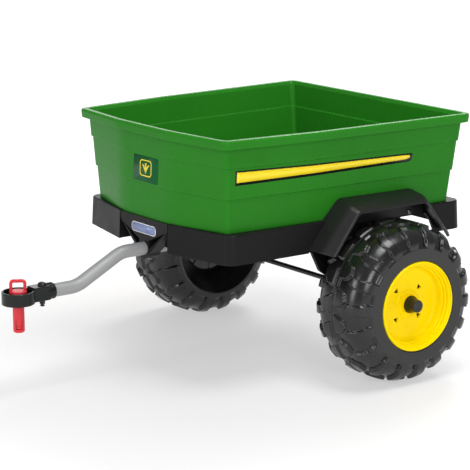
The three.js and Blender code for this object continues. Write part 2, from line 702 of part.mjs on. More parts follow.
/** Dished yellow hub that clips into the outer side of the tyre. */
function makeHub() {
  const seat = wheel.hubSeatRadius - FIT;
  const profile = [
    [seat, 58], [seat, 69], [80, 76], [77.5, 76], [75, 70], [67, 45], [20, 44], [17, HUB_FACE_Y],
    [7.8, HUB_FACE_Y], [7.8, 40], [67, 40], [72, 58],
  ];
  let body = solid(turned(profile, wheel.segments, true));
  const reach = 38.5;
  const size = 4.6;
  for (let k = 0; k < 4; k += 1) {
    const angle = Math.PI / 4 + (k * Math.PI) / 2;
    const corners = [0, 1, 2].map((c) => {
      const turn = angle + Math.PI + (2 * Math.PI * c) / 3;
      return [reach * Math.cos(angle) + size * Math.cos(turn),
        reach * Math.sin(angle) + size * Math.sin(turn)];
    });
    body = body.subtract(sidePrism(corners, 36, HUB_FACE_Y));
  }
  return body;
}

/** Closed cap over the axle end, clipped to the hub. */
function makeHubCap() {
  const profile = [
    [0, 70], [10.4, 69.5], [11.6, 67], [11.8, 51], [12.4, 50.5], [12.4, 48.3], [10, 48.3],
    [10, 65], [9.6, 67.2], [0, 67.5],
  ];
  return solid(turned(profile, 18));
}

function addWheel(label, side) {
  const group = new THREE.Group();
  group.position.set(0, side * wheel.midY, axle.z);
  if (side < 0) group.rotation.z = Math.PI;
  trailer.add(group);
  const discIn = -wheel.halfWidth + wheel.recessDepth - 8;
  const bushBore = axle.radius + FIT;
  const bush = (shankEndY, seatY, outwards) => {
    const [shank, flange] = [wheel.boreRadius - 0.5, 9.5];
    const faceY = seatY + 1.3 * outwards;
    const profile = [[bushBore, shankEndY], [shank, shankEndY], [shank, seatY], [flange, seatY],
      [flange, faceY], [bushBore, faceY]];
    return solid(turned(profile, 14, true));
  };
  addPart(`tyre_${label}`, makeTyre(), finish.tyre, group);
  addPart(`hub_${label}`, makeHub(), finish.hub, group);
  addPart(`hub_cap_${label}`, makeHubCap(), finish.cap, group);
  addPart(`inner_bush_${label}`, bush(discIn + 13, discIn - FIT, -1), finish.bush, group);
  addPart(`outer_bush_${label}`, bush(40.5, HUB_FACE_Y + FIT, 1), finish.bush, group);
}

// ---------------------------------------------------------------- left and right sides

for (const [label, side] of [['left', 1], ['right', -1]]) {
  const mirror = new THREE.Matrix4().makeScale(1, side, 1).elements;
  const place = (name, body, material) => addPart(name, body.transform([...mirror]), material);
  place(`fender_${label}`, makeFender(), finish.chassis);
  FENDER_SCREW_X.forEach((x, i) => {
    place(`fender_screw_${label}_${i + 1}`, fenderScrew(x), finish.steel);
  });
  place(`axle_bracket_${label}`, makeBracket(), finish.chassis);
  BRACKET_SCREW_X.forEach((x, i) => {
    const seat = chassis.deckBottomZ - FIT - 4 - FIT;
    place(`bracket_screw_${label}_${i + 1}`, upright(x, bracket.screwY, seat, 8.5, 5), finish.steel);
  });
  place(`axle_spacer_${label}`, axleRing(axle.radius + FIT, 8, bracket.outerY + 2.3, 271),
    finish.chassis);
  place(`axle_washer_${label}`, axleRing(axle.radius + FIT, 9, 356.9, 357.9), finish.steel);
  place(`axle_retainer_${label}`, axleRing(axle.radius + FIT, 9, 358.2, 362), finish.steel);
  addWheel(label, side);
}

addPart('axle', rod('y', -axle.halfLength, axle.halfLength, axle.radius, { z: axle.z }, 18),
  finish.darkSteel);

export default trailer;
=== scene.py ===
"""Ride-on tractor trailer: finished surfaces, materials, light and camera around its CAD frame.

Shapes are given in millimetres in the trailer's own frame: x forward from the axle, y to the
left, z up from the floor. A mesh is written in metres in the row frame.
"""
import math

import bmesh
import bpy
import numpy as np
from mathutils import Matrix, Vector


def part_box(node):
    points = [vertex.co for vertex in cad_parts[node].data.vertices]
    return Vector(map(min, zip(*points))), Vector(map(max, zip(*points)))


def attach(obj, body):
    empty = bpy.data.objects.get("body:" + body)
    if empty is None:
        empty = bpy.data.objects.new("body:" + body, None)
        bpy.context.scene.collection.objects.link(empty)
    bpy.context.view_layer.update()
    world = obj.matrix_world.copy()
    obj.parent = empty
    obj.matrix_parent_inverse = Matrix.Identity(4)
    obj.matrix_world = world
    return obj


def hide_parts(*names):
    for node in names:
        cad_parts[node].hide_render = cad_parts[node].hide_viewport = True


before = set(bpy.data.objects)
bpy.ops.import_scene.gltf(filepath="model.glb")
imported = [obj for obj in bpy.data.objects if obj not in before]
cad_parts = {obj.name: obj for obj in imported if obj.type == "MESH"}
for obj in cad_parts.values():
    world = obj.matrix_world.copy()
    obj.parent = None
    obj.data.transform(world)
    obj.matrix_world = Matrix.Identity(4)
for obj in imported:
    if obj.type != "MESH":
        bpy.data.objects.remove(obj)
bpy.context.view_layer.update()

# ---- dimensions, millimetres

MM = 0.001
axle_low, axle_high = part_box("axle")
AXLE_X = (axle_low.x + axle_high.x) / 2 / MM
AXLE_Z = (axle_low.z + axle_high.z) / 2 / MM
FIT = 0.3
AXLE_RADIUS = 5
AXLE_BORE = AXLE_RADIUS + FIT
SCREW_HOLE = 2.8
BOLT_HOLE = 3.4

WHEEL_RADIUS = 150
WHEEL_HALF = 70
WHEEL_MID_Y = 307
HUB_SEAT = 84.5

TUB_FOOT = dict(z=304, front=312, front_half=212, bow=34, bend=139, bend_half=225, rear=-199,
                rear_half=236)
TUB_HEAD = dict(z=456, front=321, front_half=221, bow=18, bend=143, bend_half=243, rear=-205,
                rear_half=258)
TUB_BOTTOM = 290
TUB_FLOOR = 294
TUB_TOP = 474
TUB_WALL = 3
TIER_STEP = 2.5
TIERS = (361, 419)
LIP_OUT = 17
LIP_BOTTOM = 457
PANEL_HALF = 80

CHASSIS_FRONT = 351
CHASSIS_CORNER_X = 321
CHASSIS_FRONT_HALF = 231
CHASSIS_REAR = -226
CHASSIS_REAR_HALF = 245
CHASSIS_BOTTOM = 245
CHASSIS_TOP = 300
DECK_TOP = 289.6
DECK_BOTTOM = 284.5
CHASSIS_WALL = 4
FLARE = 2.5

NOSE_BACK = 326.5
NOSE_SHOULDER = 285
NOSE_SCREW_X = 338
BOSS_RADIUS = 20

TUBE_RADIUS = 12.5
TUBE_BORE = 10.8
TUBE_HIGH = 240
TUBE_LOW = 190
TUBE_REAR = 190
TUBE_END = 588
CRANK_TOP = 402
CRANK_FOOT = 500
BEND_RADIUS = 60

RING_X = 624
RING_RADIUS = 30
BOLT_X = 574
NECK_HALF = 13.4
NECK_REAR = 564
COLLAR_REAR = 551
COLLAR_RADIUS = 14.9

PIN_RADIUS = 10.5
PIN_BOTTOM = 124
PIN_SEAT = 190.8
PIN_FLANGE = 10
PIN_LOOP_TOP = 219
PIN_TURN = math.radians(60)

FENDER_X = -14
FENDER_THICK = 4
FENDER_BEND = 16
FENDER_INNER = dict(y=226, z=339.5, top_half=87, foot_half=160, foot_z=252)
FENDER_CREASE = dict(y=270, z=330.5, top_half=90, foot_half=156, foot_z=250)
FENDER_LIP = dict(y=290, z=322, top_half=84, foot_half=142, foot_z=245)
FENDER_LIP_DROP = 4
FENDER_SCREW_Z = 294.5
FENDER_SCREW_X = (60, -88)
BRACKET_SCREW_X = (112, -66)
BRACKET_SCREW_Y = 207
SADDLE_X = 205
SADDLE_EAR = 279
SADDLE_SCREW_Y = 26
SADDLE_SCREWS = ((SADDLE_X, SADDLE_SCREW_Y), (SADDLE_X, -SADDLE_SCREW_Y))
TUB_SCREWS = ((240, 140), (240, -140), (-120, 150), (-120, -150))
DECAL_BACK = TIER_STEP + 0.03
DECAL_LAYER = 0.18

SIDES = (("left", 1), ("right", -1))

# ---- mesh helpers


def row_point(p):
    return ((p[0] + AXLE_X) * MM, p[1] * MM, p[2] * MM)


def mesh_from(points, faces):
    """Closed mesh from millimetre points, doubles merged and faces turned outwards."""
    mesh = bpy.data.meshes.new("shape")
    mesh.from_pydata([row_point(p) for p in points], [], faces)
    work = bmesh.new()
    work.from_mesh(mesh)
    bmesh.ops.remove_doubles(work, verts=work.verts, dist=1e-7)
    bmesh.ops.recalc_face_normals(work, faces=work.faces)
    work.to_mesh(mesh)
    work.free()
    return mesh


def rounded(corners, steps):
    """Closed outline through corners (a, b, radius), each arc in `steps` chords."""
    points = []
    for i, (a, b, radius) in enumerate(corners):
        here = Vector((a, b))
        back = (Vector(corners[i - 1][:2]) - here).normalized()
        on = (Vector(corners[(i + 1) % len(corners)][:2]) - here).normalized()
        half = math.acos(max(-1.0, min(1.0, back.dot(on)))) / 2
        if radius <= 0 or half > math.radians(89.9):
            points.append(here)
            continue
        centre = here + (back + on).normalized() * (radius / math.sin(half))
        reach = radius / math.tan(half)
        start = here + back * reach - centre
        end = here + on * reach - centre
        turn = math.atan2(start.x * end.y - start.y * end.x, start.dot(end))
        for k in range(steps + 1):
            points.append(centre + Matrix.Rotation(turn * k / steps, 2) @ start)
    return points


def band_faces(rows, count, close_rows, close_columns):
    """Quads between neighbouring rows of `count` points each."""
    faces = []
    for r in range(rows if close_rows else rows - 1):
        here, there = r * count, ((r + 1) % rows) * count
        for i in range(count if close_columns else count - 1):
            j = (i + 1) % count
            faces.append((here + i, here + j, there + j, there + i))
    return faces


def skin(rings, closed=False):
    """Closed body through rings of equal point count, capped unless the rings close up."""
    count = len(rings[0])
    faces = band_faces(len(rings), count, closed, True)
    if not closed:
        faces.append(tuple(range(count))[::-1])
        faces.append(tuple(range((len(rings) - 1) * count, len(rings) * count)))
    return mesh_from([p for ring in rings for p in ring], faces)


def level(outline, z):
    return [(p[0], p[1], z) for p in outline]


def prism(outline, z0, z1):
    return skin([level(outline, z0), level(outline, z1)])


def side_prism(outline, y0, y1):
    """Prism over an (x, z) outline, running along y."""
    return skin([[(p[0], y, p[1]) for p in outline] for y in (y0, y1)])


def front_prism(outline, x0, x1):
    """Prism over a (y, z) outline, running along x."""
    return skin([[(x, p[0], p[1]) for p in outline] for x in (x0, x1)])


def block(x0, x1, y0, y1, z0, z1):
    return prism([(x0, y0), (x1, y0), (x1, y1), (x0, y1)], z0, z1)


def turned(profile, segments, place, closed=False):
    """Body of revolution. place(a, b, height) puts the turned point in the trailer."""
    points = []
    for k in range(segments):
        angle = 2 * math.pi * k / segments
        points += [place(r * math.cos(angle), r * math.sin(angle), h) for r, h in profile]
    return mesh_from(points, band_faces(segments, len(profile), True, closed))


def upright_at(x, y, z=0, up=1):
    return lambda a, b, h: (x + a, y + b * up, z + h * up)


def on_axle(mid_y=0, side=1):
    return lambda a, b, h: (a * side, mid_y + h * side, AXLE_Z + b)


def along_x(z):
    return lambda a, b, h: (h, a, z + b)


def arc(centre, radius, start, sweep, steps):
    """Points of an arc about `centre`, from angle `start` through `sweep`."""
    angles = (start + sweep * k / steps for k in range(steps + 1))
    return [(centre[0] + radius * math.cos(t), centre[1] + radius * math.sin(t)) for t in angles]


def rod(place, low, high, radius, segments=32):
    return turned([(0, low), (radius, low), (radius, high), (0, high)], segments, place)


def screw_hole(x, y, low, high):
    return rod(upright_at(x, y), low, high, SCREW_HOLE, 20)


def deck_hole(x, y):
    return screw_hole(x, y, DECK_BOTTOM - 1.5, DECK_TOP + 1.4)


def bolt_hole(low, high):
    return rod(upright_at(BOLT_X, 0), low, high, BOLT_HOLE, 24)


def soft_rod(place, low, high, radius, segments, chamfer=0.8):
    profile = [(0, low), (radius - chamfer, low), (radius, low + chamfer),
               (radius, high - chamfer), (radius - chamfer, high), (0, high)]
    return turned(profile, segments, place)


def tube_ring(place, inner, outer, low, high, segments=40, edge=0.4):
    profile = rounded([(inner, low, edge), (outer, low, edge), (outer, high, edge),
                       (inner, high, edge)], 3)
    return turned(profile, segments, place, closed=True)


def boolean(mesh, operation, tools):
    """mesh with every tool cut away (DIFFERENCE), joined on (UNION) or kept (INTERSECT)."""
    scene = bpy.context.scene
    obj = bpy.data.objects.new("work", mesh)
    scene.collection.objects.link(obj)
    group = bpy.data.collections.new("tools")
    scene.collection.children.link(group)
    helpers = [bpy.data.objects.new("tool", tool) for tool in tools]
    for helper in helpers:
        group.objects.link(helper)
    modifier = obj.modifiers.new("boolean", "BOOLEAN")
    modifier.operation = operation
    modifier.solver = "EXACT"
    modifier.operand_type = "COLLECTION"
    modifier.collection = group
    graph = bpy.context.evaluated_depsgraph_get()
    result = bpy.data.meshes.new_from_object(obj.evaluated_get(graph), depsgraph=graph)
    for leftover in (obj, *helpers):
        bpy.data.objects.remove(leftover)
    bpy.data.collections.remove(group)
    return result


def cut(mesh, *tools):
    return boolean(mesh, "DIFFERENCE", tools)


def join(mesh, *tools):
    return boolean(mesh, "UNION", tools)


def merge(*meshes):
    """One mesh from several that stay apart."""
    work = bmesh.new()
    for mesh in meshes:
        work.from_mesh(mesh)
    result = bpy.data.meshes.new("shape")
    work.to_mesh(result)
    work.free()
    return result


def mirrored(mesh, side):
    """mesh, or its reflection across the trailer's middle for the right side."""
    result = mesh.copy()
    if side < 0:
        result.transform(Matrix.Diagonal((1, -1, 1, 1)))
        result.flip_normals()
    return result


def tidy(mesh, angle=0.4):
    """Dissolves edges between faces that lie in one plane."""
    work = bmesh.new()
    work.from_mesh(mesh)
    bmesh.ops.dissolve_limit(work, angle_limit=math.radians(angle), verts=work.verts,
                             edges=work.edges)
    work.to_mesh(mesh)
    work.free()
    return mesh


def add_piece(name, mesh, look, *nodes, slot=None, body="trailer_frame"):
    """Puts a mesh in the scene with the finish called `look`, in place of the CAD nodes named."""
    mesh.name = name
    mesh.materials.clear()
    mesh.materials.append(MATERIALS[look])
    mesh.shade_smooth()
    obj = bpy.data.objects.new(name, mesh)
    bpy.context.scene.collection.objects.link(obj)
    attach(obj, body)
    if nodes:
        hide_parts(*nodes)
    return obj


def even_shading(obj, sharp):
    obj.data.set_sharp_from_angle(angle=math.radians(sharp))
    normals = obj.modifiers.new("shading", "WEIGHTED_NORMAL")
    normals.keep_sharp = True


def add_smooth(*piece, sharp=40, **where):
    """Adds a piece whose faces blend up to `sharp` degrees."""
    even_shading(add_piece(*piece, **where), sharp)


def add_edged(width, *piece, angle=30, **where):
    """Adds a piece with its edges rounded by `width` mm and its flat faces shaded flat."""
    obj = add_piece(*piece, **where)
    bevel = obj.modifiers.new("edges", "BEVEL")
    bevel.width = width * MM
    bevel.segments = 2
    bevel.limit_method = "ANGLE"
    bevel.angle_limit = math.radians(angle)
    bevel.use_clamp_overlap = True
    even_shading(obj, 60)


# ---- materials


MATERIALS = {}


def map_range(nodes, links, value, *ends):
    """Maps value from ends[0]..ends[1] to ends[2]..ends[3]."""
    node = nodes.new("ShaderNodeMapRange")
    for socket, end in zip(("From Min", "From Max", "To Min", "To Max"), ends):
        node.inputs[socket].default_value = end
    links.new(value, node.inputs["Value"])
    return node.outputs["Result"]


def finish(name, colour, roughness, metallic=0.0, grain=1500, bump=0.12, peel=90, peel_bump=0.05,
           shade=0.08, wear_and_highlight=0.12, spread=0.06, specular=0.5):
    """Moulded or painted finish: uneven colour and gloss, fine grain, slow ripple, worn and
    painted-highlight edges.
    """
    material = bpy.data.materials.new(name)
    MATERIALS[name] = material
    material.use_nodes = True
    nodes, links = material.node_tree.nodes, material.node_tree.links
    shader = nodes["Principled BSDF"]
    shader.inputs["Metallic"].default_value = metallic
    shader.inputs["Specular IOR Level"].default_value = specular
    place = nodes.new("ShaderNodeTexCoord").outputs["Object"]

    def noise(scale, detail=3):
        node = nodes.new("ShaderNodeTexNoise")
        node.inputs["Scale"].default_value = scale
        node.inputs["Detail"].default_value = detail
        links.new(place, node.inputs["Vector"])
        return node.outputs["Fac"]

    def ramp(value, *ends):
        return map_range(nodes, links, value, *ends)

    def mix(share, first, second):
        node = nodes.new("ShaderNodeMix")
        node.data_type = "RGBA"
        links.new(share, node.inputs["Factor"])
        for socket, value in ((node.inputs["A"], first), (node.inputs["B"], second)):
            if isinstance(value, tuple):
                socket.default_value = (*value, 1)
            else:
                links.new(value, socket)
        return node.outputs["Result"]

    darker = tuple(c * (1 - shade) for c in colour)
    lighter = tuple(min(1, c * (1 + shade)) for c in colour)
    # Edge colour: partly real wear, partly a painted highlight standing in for light caught by the
    # rounded edges.
    worn_and_highlit = tuple(min(1, c * (1 + 3 * wear_and_highlight) + 0.02 * wear_and_highlight) for c in colour)
    cloudy = mix(ramp(noise(7, 2), 0.35, 0.65, 0, 1), darker, lighter)
    bevel = nodes.new("ShaderNodeBevel")
    bevel.samples = 4
    bevel.inputs["Radius"].default_value = 0.0011
    bend = nodes.new("ShaderNodeVectorMath")
    bend.operation = "DOT_PRODUCT"
    links.new(bevel.outputs["Normal"], bend.inputs[0])
    links.new(nodes.new("ShaderNodeNewGeometry").outputs["Normal"], bend.inputs[1])
    # Edge mask from the Bevel node; it places the worn and painted-highlight edge colour.
    edge = ramp(bend.outputs["Value"], 0.985, 0.86, 0, 1)
    patchy = nodes.new("ShaderNodeMath")
    patchy.operation = "MULTIPLY"
    links.new(edge, patchy.inputs[0])
    links.new(ramp(noise(60), 0.35, 0.65, 0.2, 1), patchy.inputs[1])
    links.new(mix(patchy.outputs[0], cloudy, worn_and_highlit), shader.inputs["Base Color"])
    links.new(ramp(noise(28), 0.3, 0.7, roughness - spread, roughness + spread),
              shader.inputs["Roughness"])

    def relief(strength, depth, height):
        node = nodes.new("ShaderNodeBump")
        node.inputs["Strength"].default_value = strength
        node.inputs["Distance"].default_value = depth
        links.new(height, node.inputs["Height"])
        return node

    fine = relief(bump, 0.0006, noise(grain, 2))
    ripple = relief(peel_bump, 0.004, noise(peel, 1))
    links.new(fine.outputs["Normal"], ripple.inputs["Normal"])
    links.new(ripple.outputs["Normal"], shader.inputs["Normal"])


finish("tub_green", (0.0205, 0.192, 0.0125), 0.27, grain=1400, bump=0.03, peel=30, peel_bump=0.012,
       shade=0.04, wear_and_highlight=0.35, spread=0.03, specular=0.08)
finish("chassis_black", (0.0095, 0.0092, 0.0096), 0.4, peel=50, peel_bump=0.015, wear_and_highlight=0.9,
       spread=0.04, specular=0.13)
# Fender copy of chassis_black, a little lighter and with stronger painted edge highlights; the
# fenders are the same black plastic.
finish("fender_black_highlit", (0.0125, 0.012, 0.0128), 0.38, peel=50, peel_bump=0.015, wear_and_highlight=1.3,
       spread=0.04, specular=0.3)
finish("tyre_black", (0.0065, 0.0065, 0.0068), 0.26, grain=1100, bump=0.06, peel=60,
       peel_bump=0.02, wear_and_highlight=1.6, spread=0.05, specular=0.55)
finish("hub_yellow", (1.0, 0.735, 0.0), 0.2, grain=1300, bump=0.03, peel=60, peel_bump=0.02,
       shade=0.02, wear_and_highlight=0.02, specular=0.09)
finish("cap_black", (0.006, 0.007, 0.008), 0.32, grain=1200, bump=0.08, wear_and_highlight=0.4)
finish("drawbar_grey", (0.36, 0.36, 0.365), 0.5, metallic=0.3, grain=1600, bump=0.07, peel=140,
       shade=0.03)
finish("coupler_black", (0.006, 0.0075, 0.0072), 0.26, grain=1200, bump=0.1, peel=120, wear_and_highlight=0.8,
       specular=0.3)
finish("pin_red", (0.66, 0.018, 0.03), 0.33, grain=1300, bump=0.06, peel=120, peel_bump=0.04,
       shade=0.06, wear_and_highlight=0.06)
finish("dark_steel", (0.05, 0.05, 0.052), 0.34, metallic=0.85, grain=1900, bump=0.1, wear_and_highlight=0.5)
finish("zinc_steel", (0.24, 0.24, 0.235), 0.34, metallic=0.95, grain=1900, bump=0.1, wear_and_highlight=0.1)
finish("bush_white", (0.78, 0.77, 0.72), 0.45, bump=0.08, wear_and_highlight=0.02)
finish("decal_yellow", (0.93, 0.72, 0.02), 0.24, bump=0.02, peel=50, peel_bump=0.02, shade=0.02,
       wear_and_highlight=0.02)
finish("decal_black", (0.007, 0.007, 0.008), 0.26, bump=0.02, wear_and_highlight=0.1, specular=0.2)
finish("decal_green", (0.007, 0.085, 0.024), 0.3, bump=0.02, wear_and_highlight=0.1, specular=0.1)
finish("plate_blue", (0.20, 0.25, 0.44), 0.27, bump=0.02, wear_and_highlight=0.02)
finish("plate_rim", (0.80, 0.82, 0.86), 0.27, bump=0.02, wear_and_highlight=0.02)

# ---- tub

PLAN_STEPS = 10


def lerp(low, high, t):
    return low + (high - low) * t


def divided(outline, parts):
    """Closed outline with each of its long straight sides split into `parts`."""
    points = []
    for here, there in zip(outline, outline[1:] + outline[:1]):
        count = parts if (there - here).length > 60 else 1
        points += [here.lerp(there, k / count) for k in range(count)]
    return points


def tub_plan(z, offset):
    """Tub outline at height z, moved outwards by `offset`."""
    t = (z - TUB_FOOT["z"]) / (TUB_HEAD["z"] - TUB_FOOT["z"])
    at = {key: lerp(TUB_FOOT[key], TUB_HEAD[key], t) for key in TUB_FOOT}
    corner = max(8 + 0.6 * offset, 4)
    half = [
        (at["front"] + at["bow"] + offset, PANEL_HALF, 260),
        (at["front"] + offset, at["front_half"] + offset, corner),
        (at["bend"], at["bend_half"] + offset, 200),
        (at["rear"] - offset, at["rear_half"] + offset, corner),
    ]
    other = [(x, -y, r) for x, y, r in reversed(half)]
    return divided(rounded(half + other, PLAN_STEPS), 12)


def tub_ring(z, offset):
    return level(tub_plan(z, offset), z)


def tub_profile():
    """(offset, z) points up the outside, over the lip and down the inside to the floor."""
    low, high = TIERS
    top = 2 * TIER_STEP
    inner = -TUB_WALL
    corners = [
        (-40, TUB_BOTTOM, 0), (0, TUB_BOTTOM, 6),
        (0, low, 0.8), (TIER_STEP, low + 1.4, 0.8),
        (TIER_STEP, high, 0.8), (top, high + 1.4, 0.8),
        (top, LIP_BOTTOM, 1.5), (LIP_OUT, LIP_BOTTOM, 1.2),
        (LIP_OUT, TUB_TOP, 5), (top + 0.5, TUB_TOP, 2.5),
        (top + inner, TUB_TOP - 7, 4),
        (top + inner, high + 4.2, 0.8), (TIER_STEP + inner, high + 2.8, 0.8),
        (TIER_STEP + inner, low + 4.2, 0.8), (inner, low + 2.8, 0.8),
        (inner, TUB_FLOOR, 7), (-40, TUB_FLOOR, 0),
    ]
    points = [p for p in rounded(corners, 4) if p.x > -39]
    steps = [q for here, there in zip(points, points[1:]) for q in steps_between(here, there)]
    return steps + points[-1:]


def steps_between(here, there, step=9):
    """Points from one profile point up to the next, no more than `step` apart."""
    count = max(1, math.ceil((there - here).length / step))
    return [here.lerp(there, k / count) for k in range(count)]


def tub_space(room):
    """Room for the tub in a neighbour, `room` mm wider than the tub all round."""
    lift = room + TIER_STEP
    return skin([
        tub_ring(TUB_BOTTOM - room, room), tub_ring(TIERS[0] - 1, room),
        tub_ring(TIERS[0] - 1, lift), tub_ring(TIERS[1], lift),
    ])


tub = skin([tub_ring(p.y, p.x) for p in tub_profile()])
add_smooth("tub_shell", tub, "tub_green", "tub", sharp=50)

# ---- chassis tray


def chassis_plan(offset):
    half = [
        (CHASSIS_FRONT + offset, PANEL_HALF, 6),
        (CHASSIS_CORNER_X + offset, CHASSIS_FRONT_HALF + offset, 22 + offset),
        (CHASSIS_REAR - offset, CHASSIS_REAR_HALF + offset, 20 + offset),
    ]
    other = [(x, -y, r) for x, y, r in reversed(half)]
    return rounded(half + other, 12)


def chassis_envelope(room):
    """Outside of the tray: flared foot, straight side and softly rounded top edge."""
    heights = [(CHASSIS_BOTTOM - room, FLARE + room), (CHASSIS_TOP - 3, room),
               (CHASSIS_TOP - 1.2 + room, room - 0.4), (CHASSIS_TOP - 0.3 + room, room - 1.2),
               (CHASSIS_TOP + room, room - 2.4)]
    return skin([level(chassis_plan(offset), z) for z, offset in heights])


def chassis_side_y(x):
    t = (CHASSIS_CORNER_X - x) / (CHASSIS_CORNER_X - CHASSIS_REAR)
    return lerp(CHASSIS_FRONT_HALF, CHASSIS_REAR_HALF, t)


def make_chassis():
    below = CHASSIS_BOTTOM - 5
    rib_foot = DECK_BOTTOM - 8
    ribs = [block(-220, 320, -2, 2, rib_foot, DECK_BOTTOM + 1)]
    for x in (-60, 110):
        half = chassis_side_y(x) - 2
        ribs.append(block(x - 2, x + 2, -half, half, rib_foot, DECK_BOTTOM + 1))
    for y in (-110, 110):
        ribs.append(block(-222, 318, y - 2, y + 2, rib_foot, DECK_BOTTOM + 1))
    body = cut(chassis_envelope(0), prism(chassis_plan(-CHASSIS_WALL), below, DECK_BOTTOM))
    body = join(body, *ribs)
    body = cut(body, block(NOSE_BACK - FIT, CHASSIS_FRONT + 10, -PANEL_HALF, PANEL_HALF, below,
                           CHASSIS_TOP + 5))
    edge = PANEL_HALF + CHASSIS_WALL - 1
    back = block(NOSE_BACK - 3 - FIT, NOSE_BACK - FIT, -edge, edge, CHASSIS_BOTTOM, DECK_TOP)
    cheeks = [block(NOSE_BACK - 3.2, CHASSIS_FRONT - 5.5, y0, y0 + 3, CHASSIS_BOTTOM + 0.2,
                    DECK_TOP - 0.2) for y0 in (PANEL_HALF, -PANEL_HALF - 3)]
    body = join(body, back, *cheeks)
    arch = [(-160, below), (150, below), (128, 270), (116, 285), (-134, 285), (-146, 270)]
    tools = [tub_space(0.5)]
    for side in (1, -1):
        y0, y1 = sorted((side * 232, side * 260))
        tools.append(side_prism(arch, y0, y1))
        y0, y1 = sorted((side * 197, side * 231))
        tools.append(block(-100, 152, y0, y1, below, DECK_BOTTOM - 0.01))
        tools += [deck_hole(x, side * BRACKET_SCREW_Y) for x in BRACKET_SCREW_X]
    tools += [deck_hole(x, y) for x, y in SADDLE_SCREWS + TUB_SCREWS]
    tools.append(block(SADDLE_X - 16, SADDLE_X + 16, -35, 35, below, DECK_BOTTOM - 0.01))
    tools.append(rod(along_x(TUBE_HIGH), 180, 330, TUBE_RADIUS + 0.8, 40))
    return tidy(cut(body, *tools))


add_edged(0.9, "chassis_tray_body", make_chassis(), "chassis_black", "chassis_tray")

# ---- screws


def screw_mesh(place, length, head_radius=5.5, head_height=2.8, shank=2.3):
    """Pan-head screw with a cross recess; its seat is at height 0 and it runs downwards."""
    profile = [(0, head_height)]
    for k in range(1, 7):
        angle = math.pi / 2 * k / 6
        profile.append((head_radius * math.sin(angle) ** 0.8,
                        0.6 + (head_height - 0.6) * math.cos(angle)))
    profile += [(head_radius, 0.15), (head_radius - 0.2, 0), (shank, 0)]
    pitch = 1.4
    turns = int((length - 3) / pitch)
    for k in range(turns):
        start = -1 - k * pitch
        profile += [(shank - 0.5, start), (shank, start - pitch * 0.45)]
    profile += [(shank - 0.5, -length + 1.6), (0, -length)]
    body = turned(profile, 24, place)
    arm, width = head_radius * 0.55, 0.55
    slots = []
    for a, b in ((arm, width), (width, arm)):
        rings = []
        for h, share in ((head_height - 1.6, 0.55), (head_height + 1, 1.0)):
            rings.append([place(sa * a * share, sb * b * share, h)
                          for sa, sb in ((1, 1), (-1, 1), (-1, -1), (1, -1))])
        slots.append(skin(rings))
    return cut(body, *slots)


def add_screw(node, place, length, **sizes):
    mesh = screw_mesh(place, length, **sizes)
    add_smooth(f"{node}_turned", mesh, "zinc_steel", node, sharp=35)


for i, (x, y) in enumerate(TUB_SCREWS):
    add_screw(f"tub_screw_{i + 1}", upright_at(x, y, DECK_BOTTOM - FIT, -1), 8.5)
add_screw("nose_screw", upright_at(NOSE_SCREW_X, 0, TUBE_HIGH - BOSS_RADIUS - FIT, -1), 16)
for label, side in SIDES:
    add_screw(f"saddle_screw_{label}",
              upright_at(SADDLE_X, side * SADDLE_SCREW_Y, SADDLE_EAR - FIT, -1), 9.5, head_radius=5)
    for i, x in enumerate(BRACKET_SCREW_X):
        seat = DECK_BOTTOM - FIT - 4 - FIT
        add_screw(f"bracket_screw_{label}_{i + 1}",
                  upright_at(x, side * BRACKET_SCREW_Y, seat, -1), 8.5, head_radius=5)

# ---- drawbar nose, tube and saddle


def make_nose():
    half = PANEL_HALF - 2.6
    boss = arc((0, TUBE_HIGH), BOSS_RADIUS, 1.12 * math.pi, 0.76 * math.pi, 24)
    outline = [(half, NOSE_SHOULDER), (half, CHASSIS_TOP - 1), (-half, CHASSIS_TOP - 1),
               (-half, NOSE_SHOULDER), *boss]
    body = front_prism(outline, NOSE_BACK, CHASSIS_FRONT)
    pockets = []
    for side in (1, -1):
        corners = [(side * 73, NOSE_SHOULDER - 3, 0.8), (side * 15, 256, 1.5),
                   (side * 16.5, 241, 1.5)]
        pockets.append(front_prism(rounded(corners, 4), CHASSIS_FRONT - 18, CHASSIS_FRONT + 5))
    tools = [*pockets, tub_space(0.8), rod(along_x(TUBE_HIGH), 300, 370, TUBE_RADIUS + FIT, 48),
             screw_hole(NOSE_SCREW_X, 0, 215, TUBE_HIGH)]
    return tidy(cut(body, *tools))


add_edged(0.8, "drawbar_nose_casting", make_nose(), "chassis_black", "drawbar_nose")


def tube_stations(bend_steps=14):
    """(x, z, slope) along the cranked drawbar."""
    slope = math.atan2(TUBE_HIGH - TUBE_LOW, CRANK_FOOT - CRANK_TOP)
    reach = BEND_RADIUS * math.tan(slope / 2)
    angles = [slope * k / bend_steps for k in range(bend_steps + 1)]
    stations = [(TUBE_REAR, TUBE_HIGH, 0)]
    stations += [(CRANK_TOP - reach + BEND_RADIUS * math.sin(t),
                  TUBE_HIGH - BEND_RADIUS * (1 - math.cos(t)), t) for t in angles]
    stations += [(CRANK_FOOT + reach - BEND_RADIUS * math.sin(t),
                  TUBE_LOW + BEND_RADIUS * (1 - math.cos(t)), t) for t in reversed(angles)]
    stations.append((TUBE_END, TUBE_LOW, 0))
    return stations


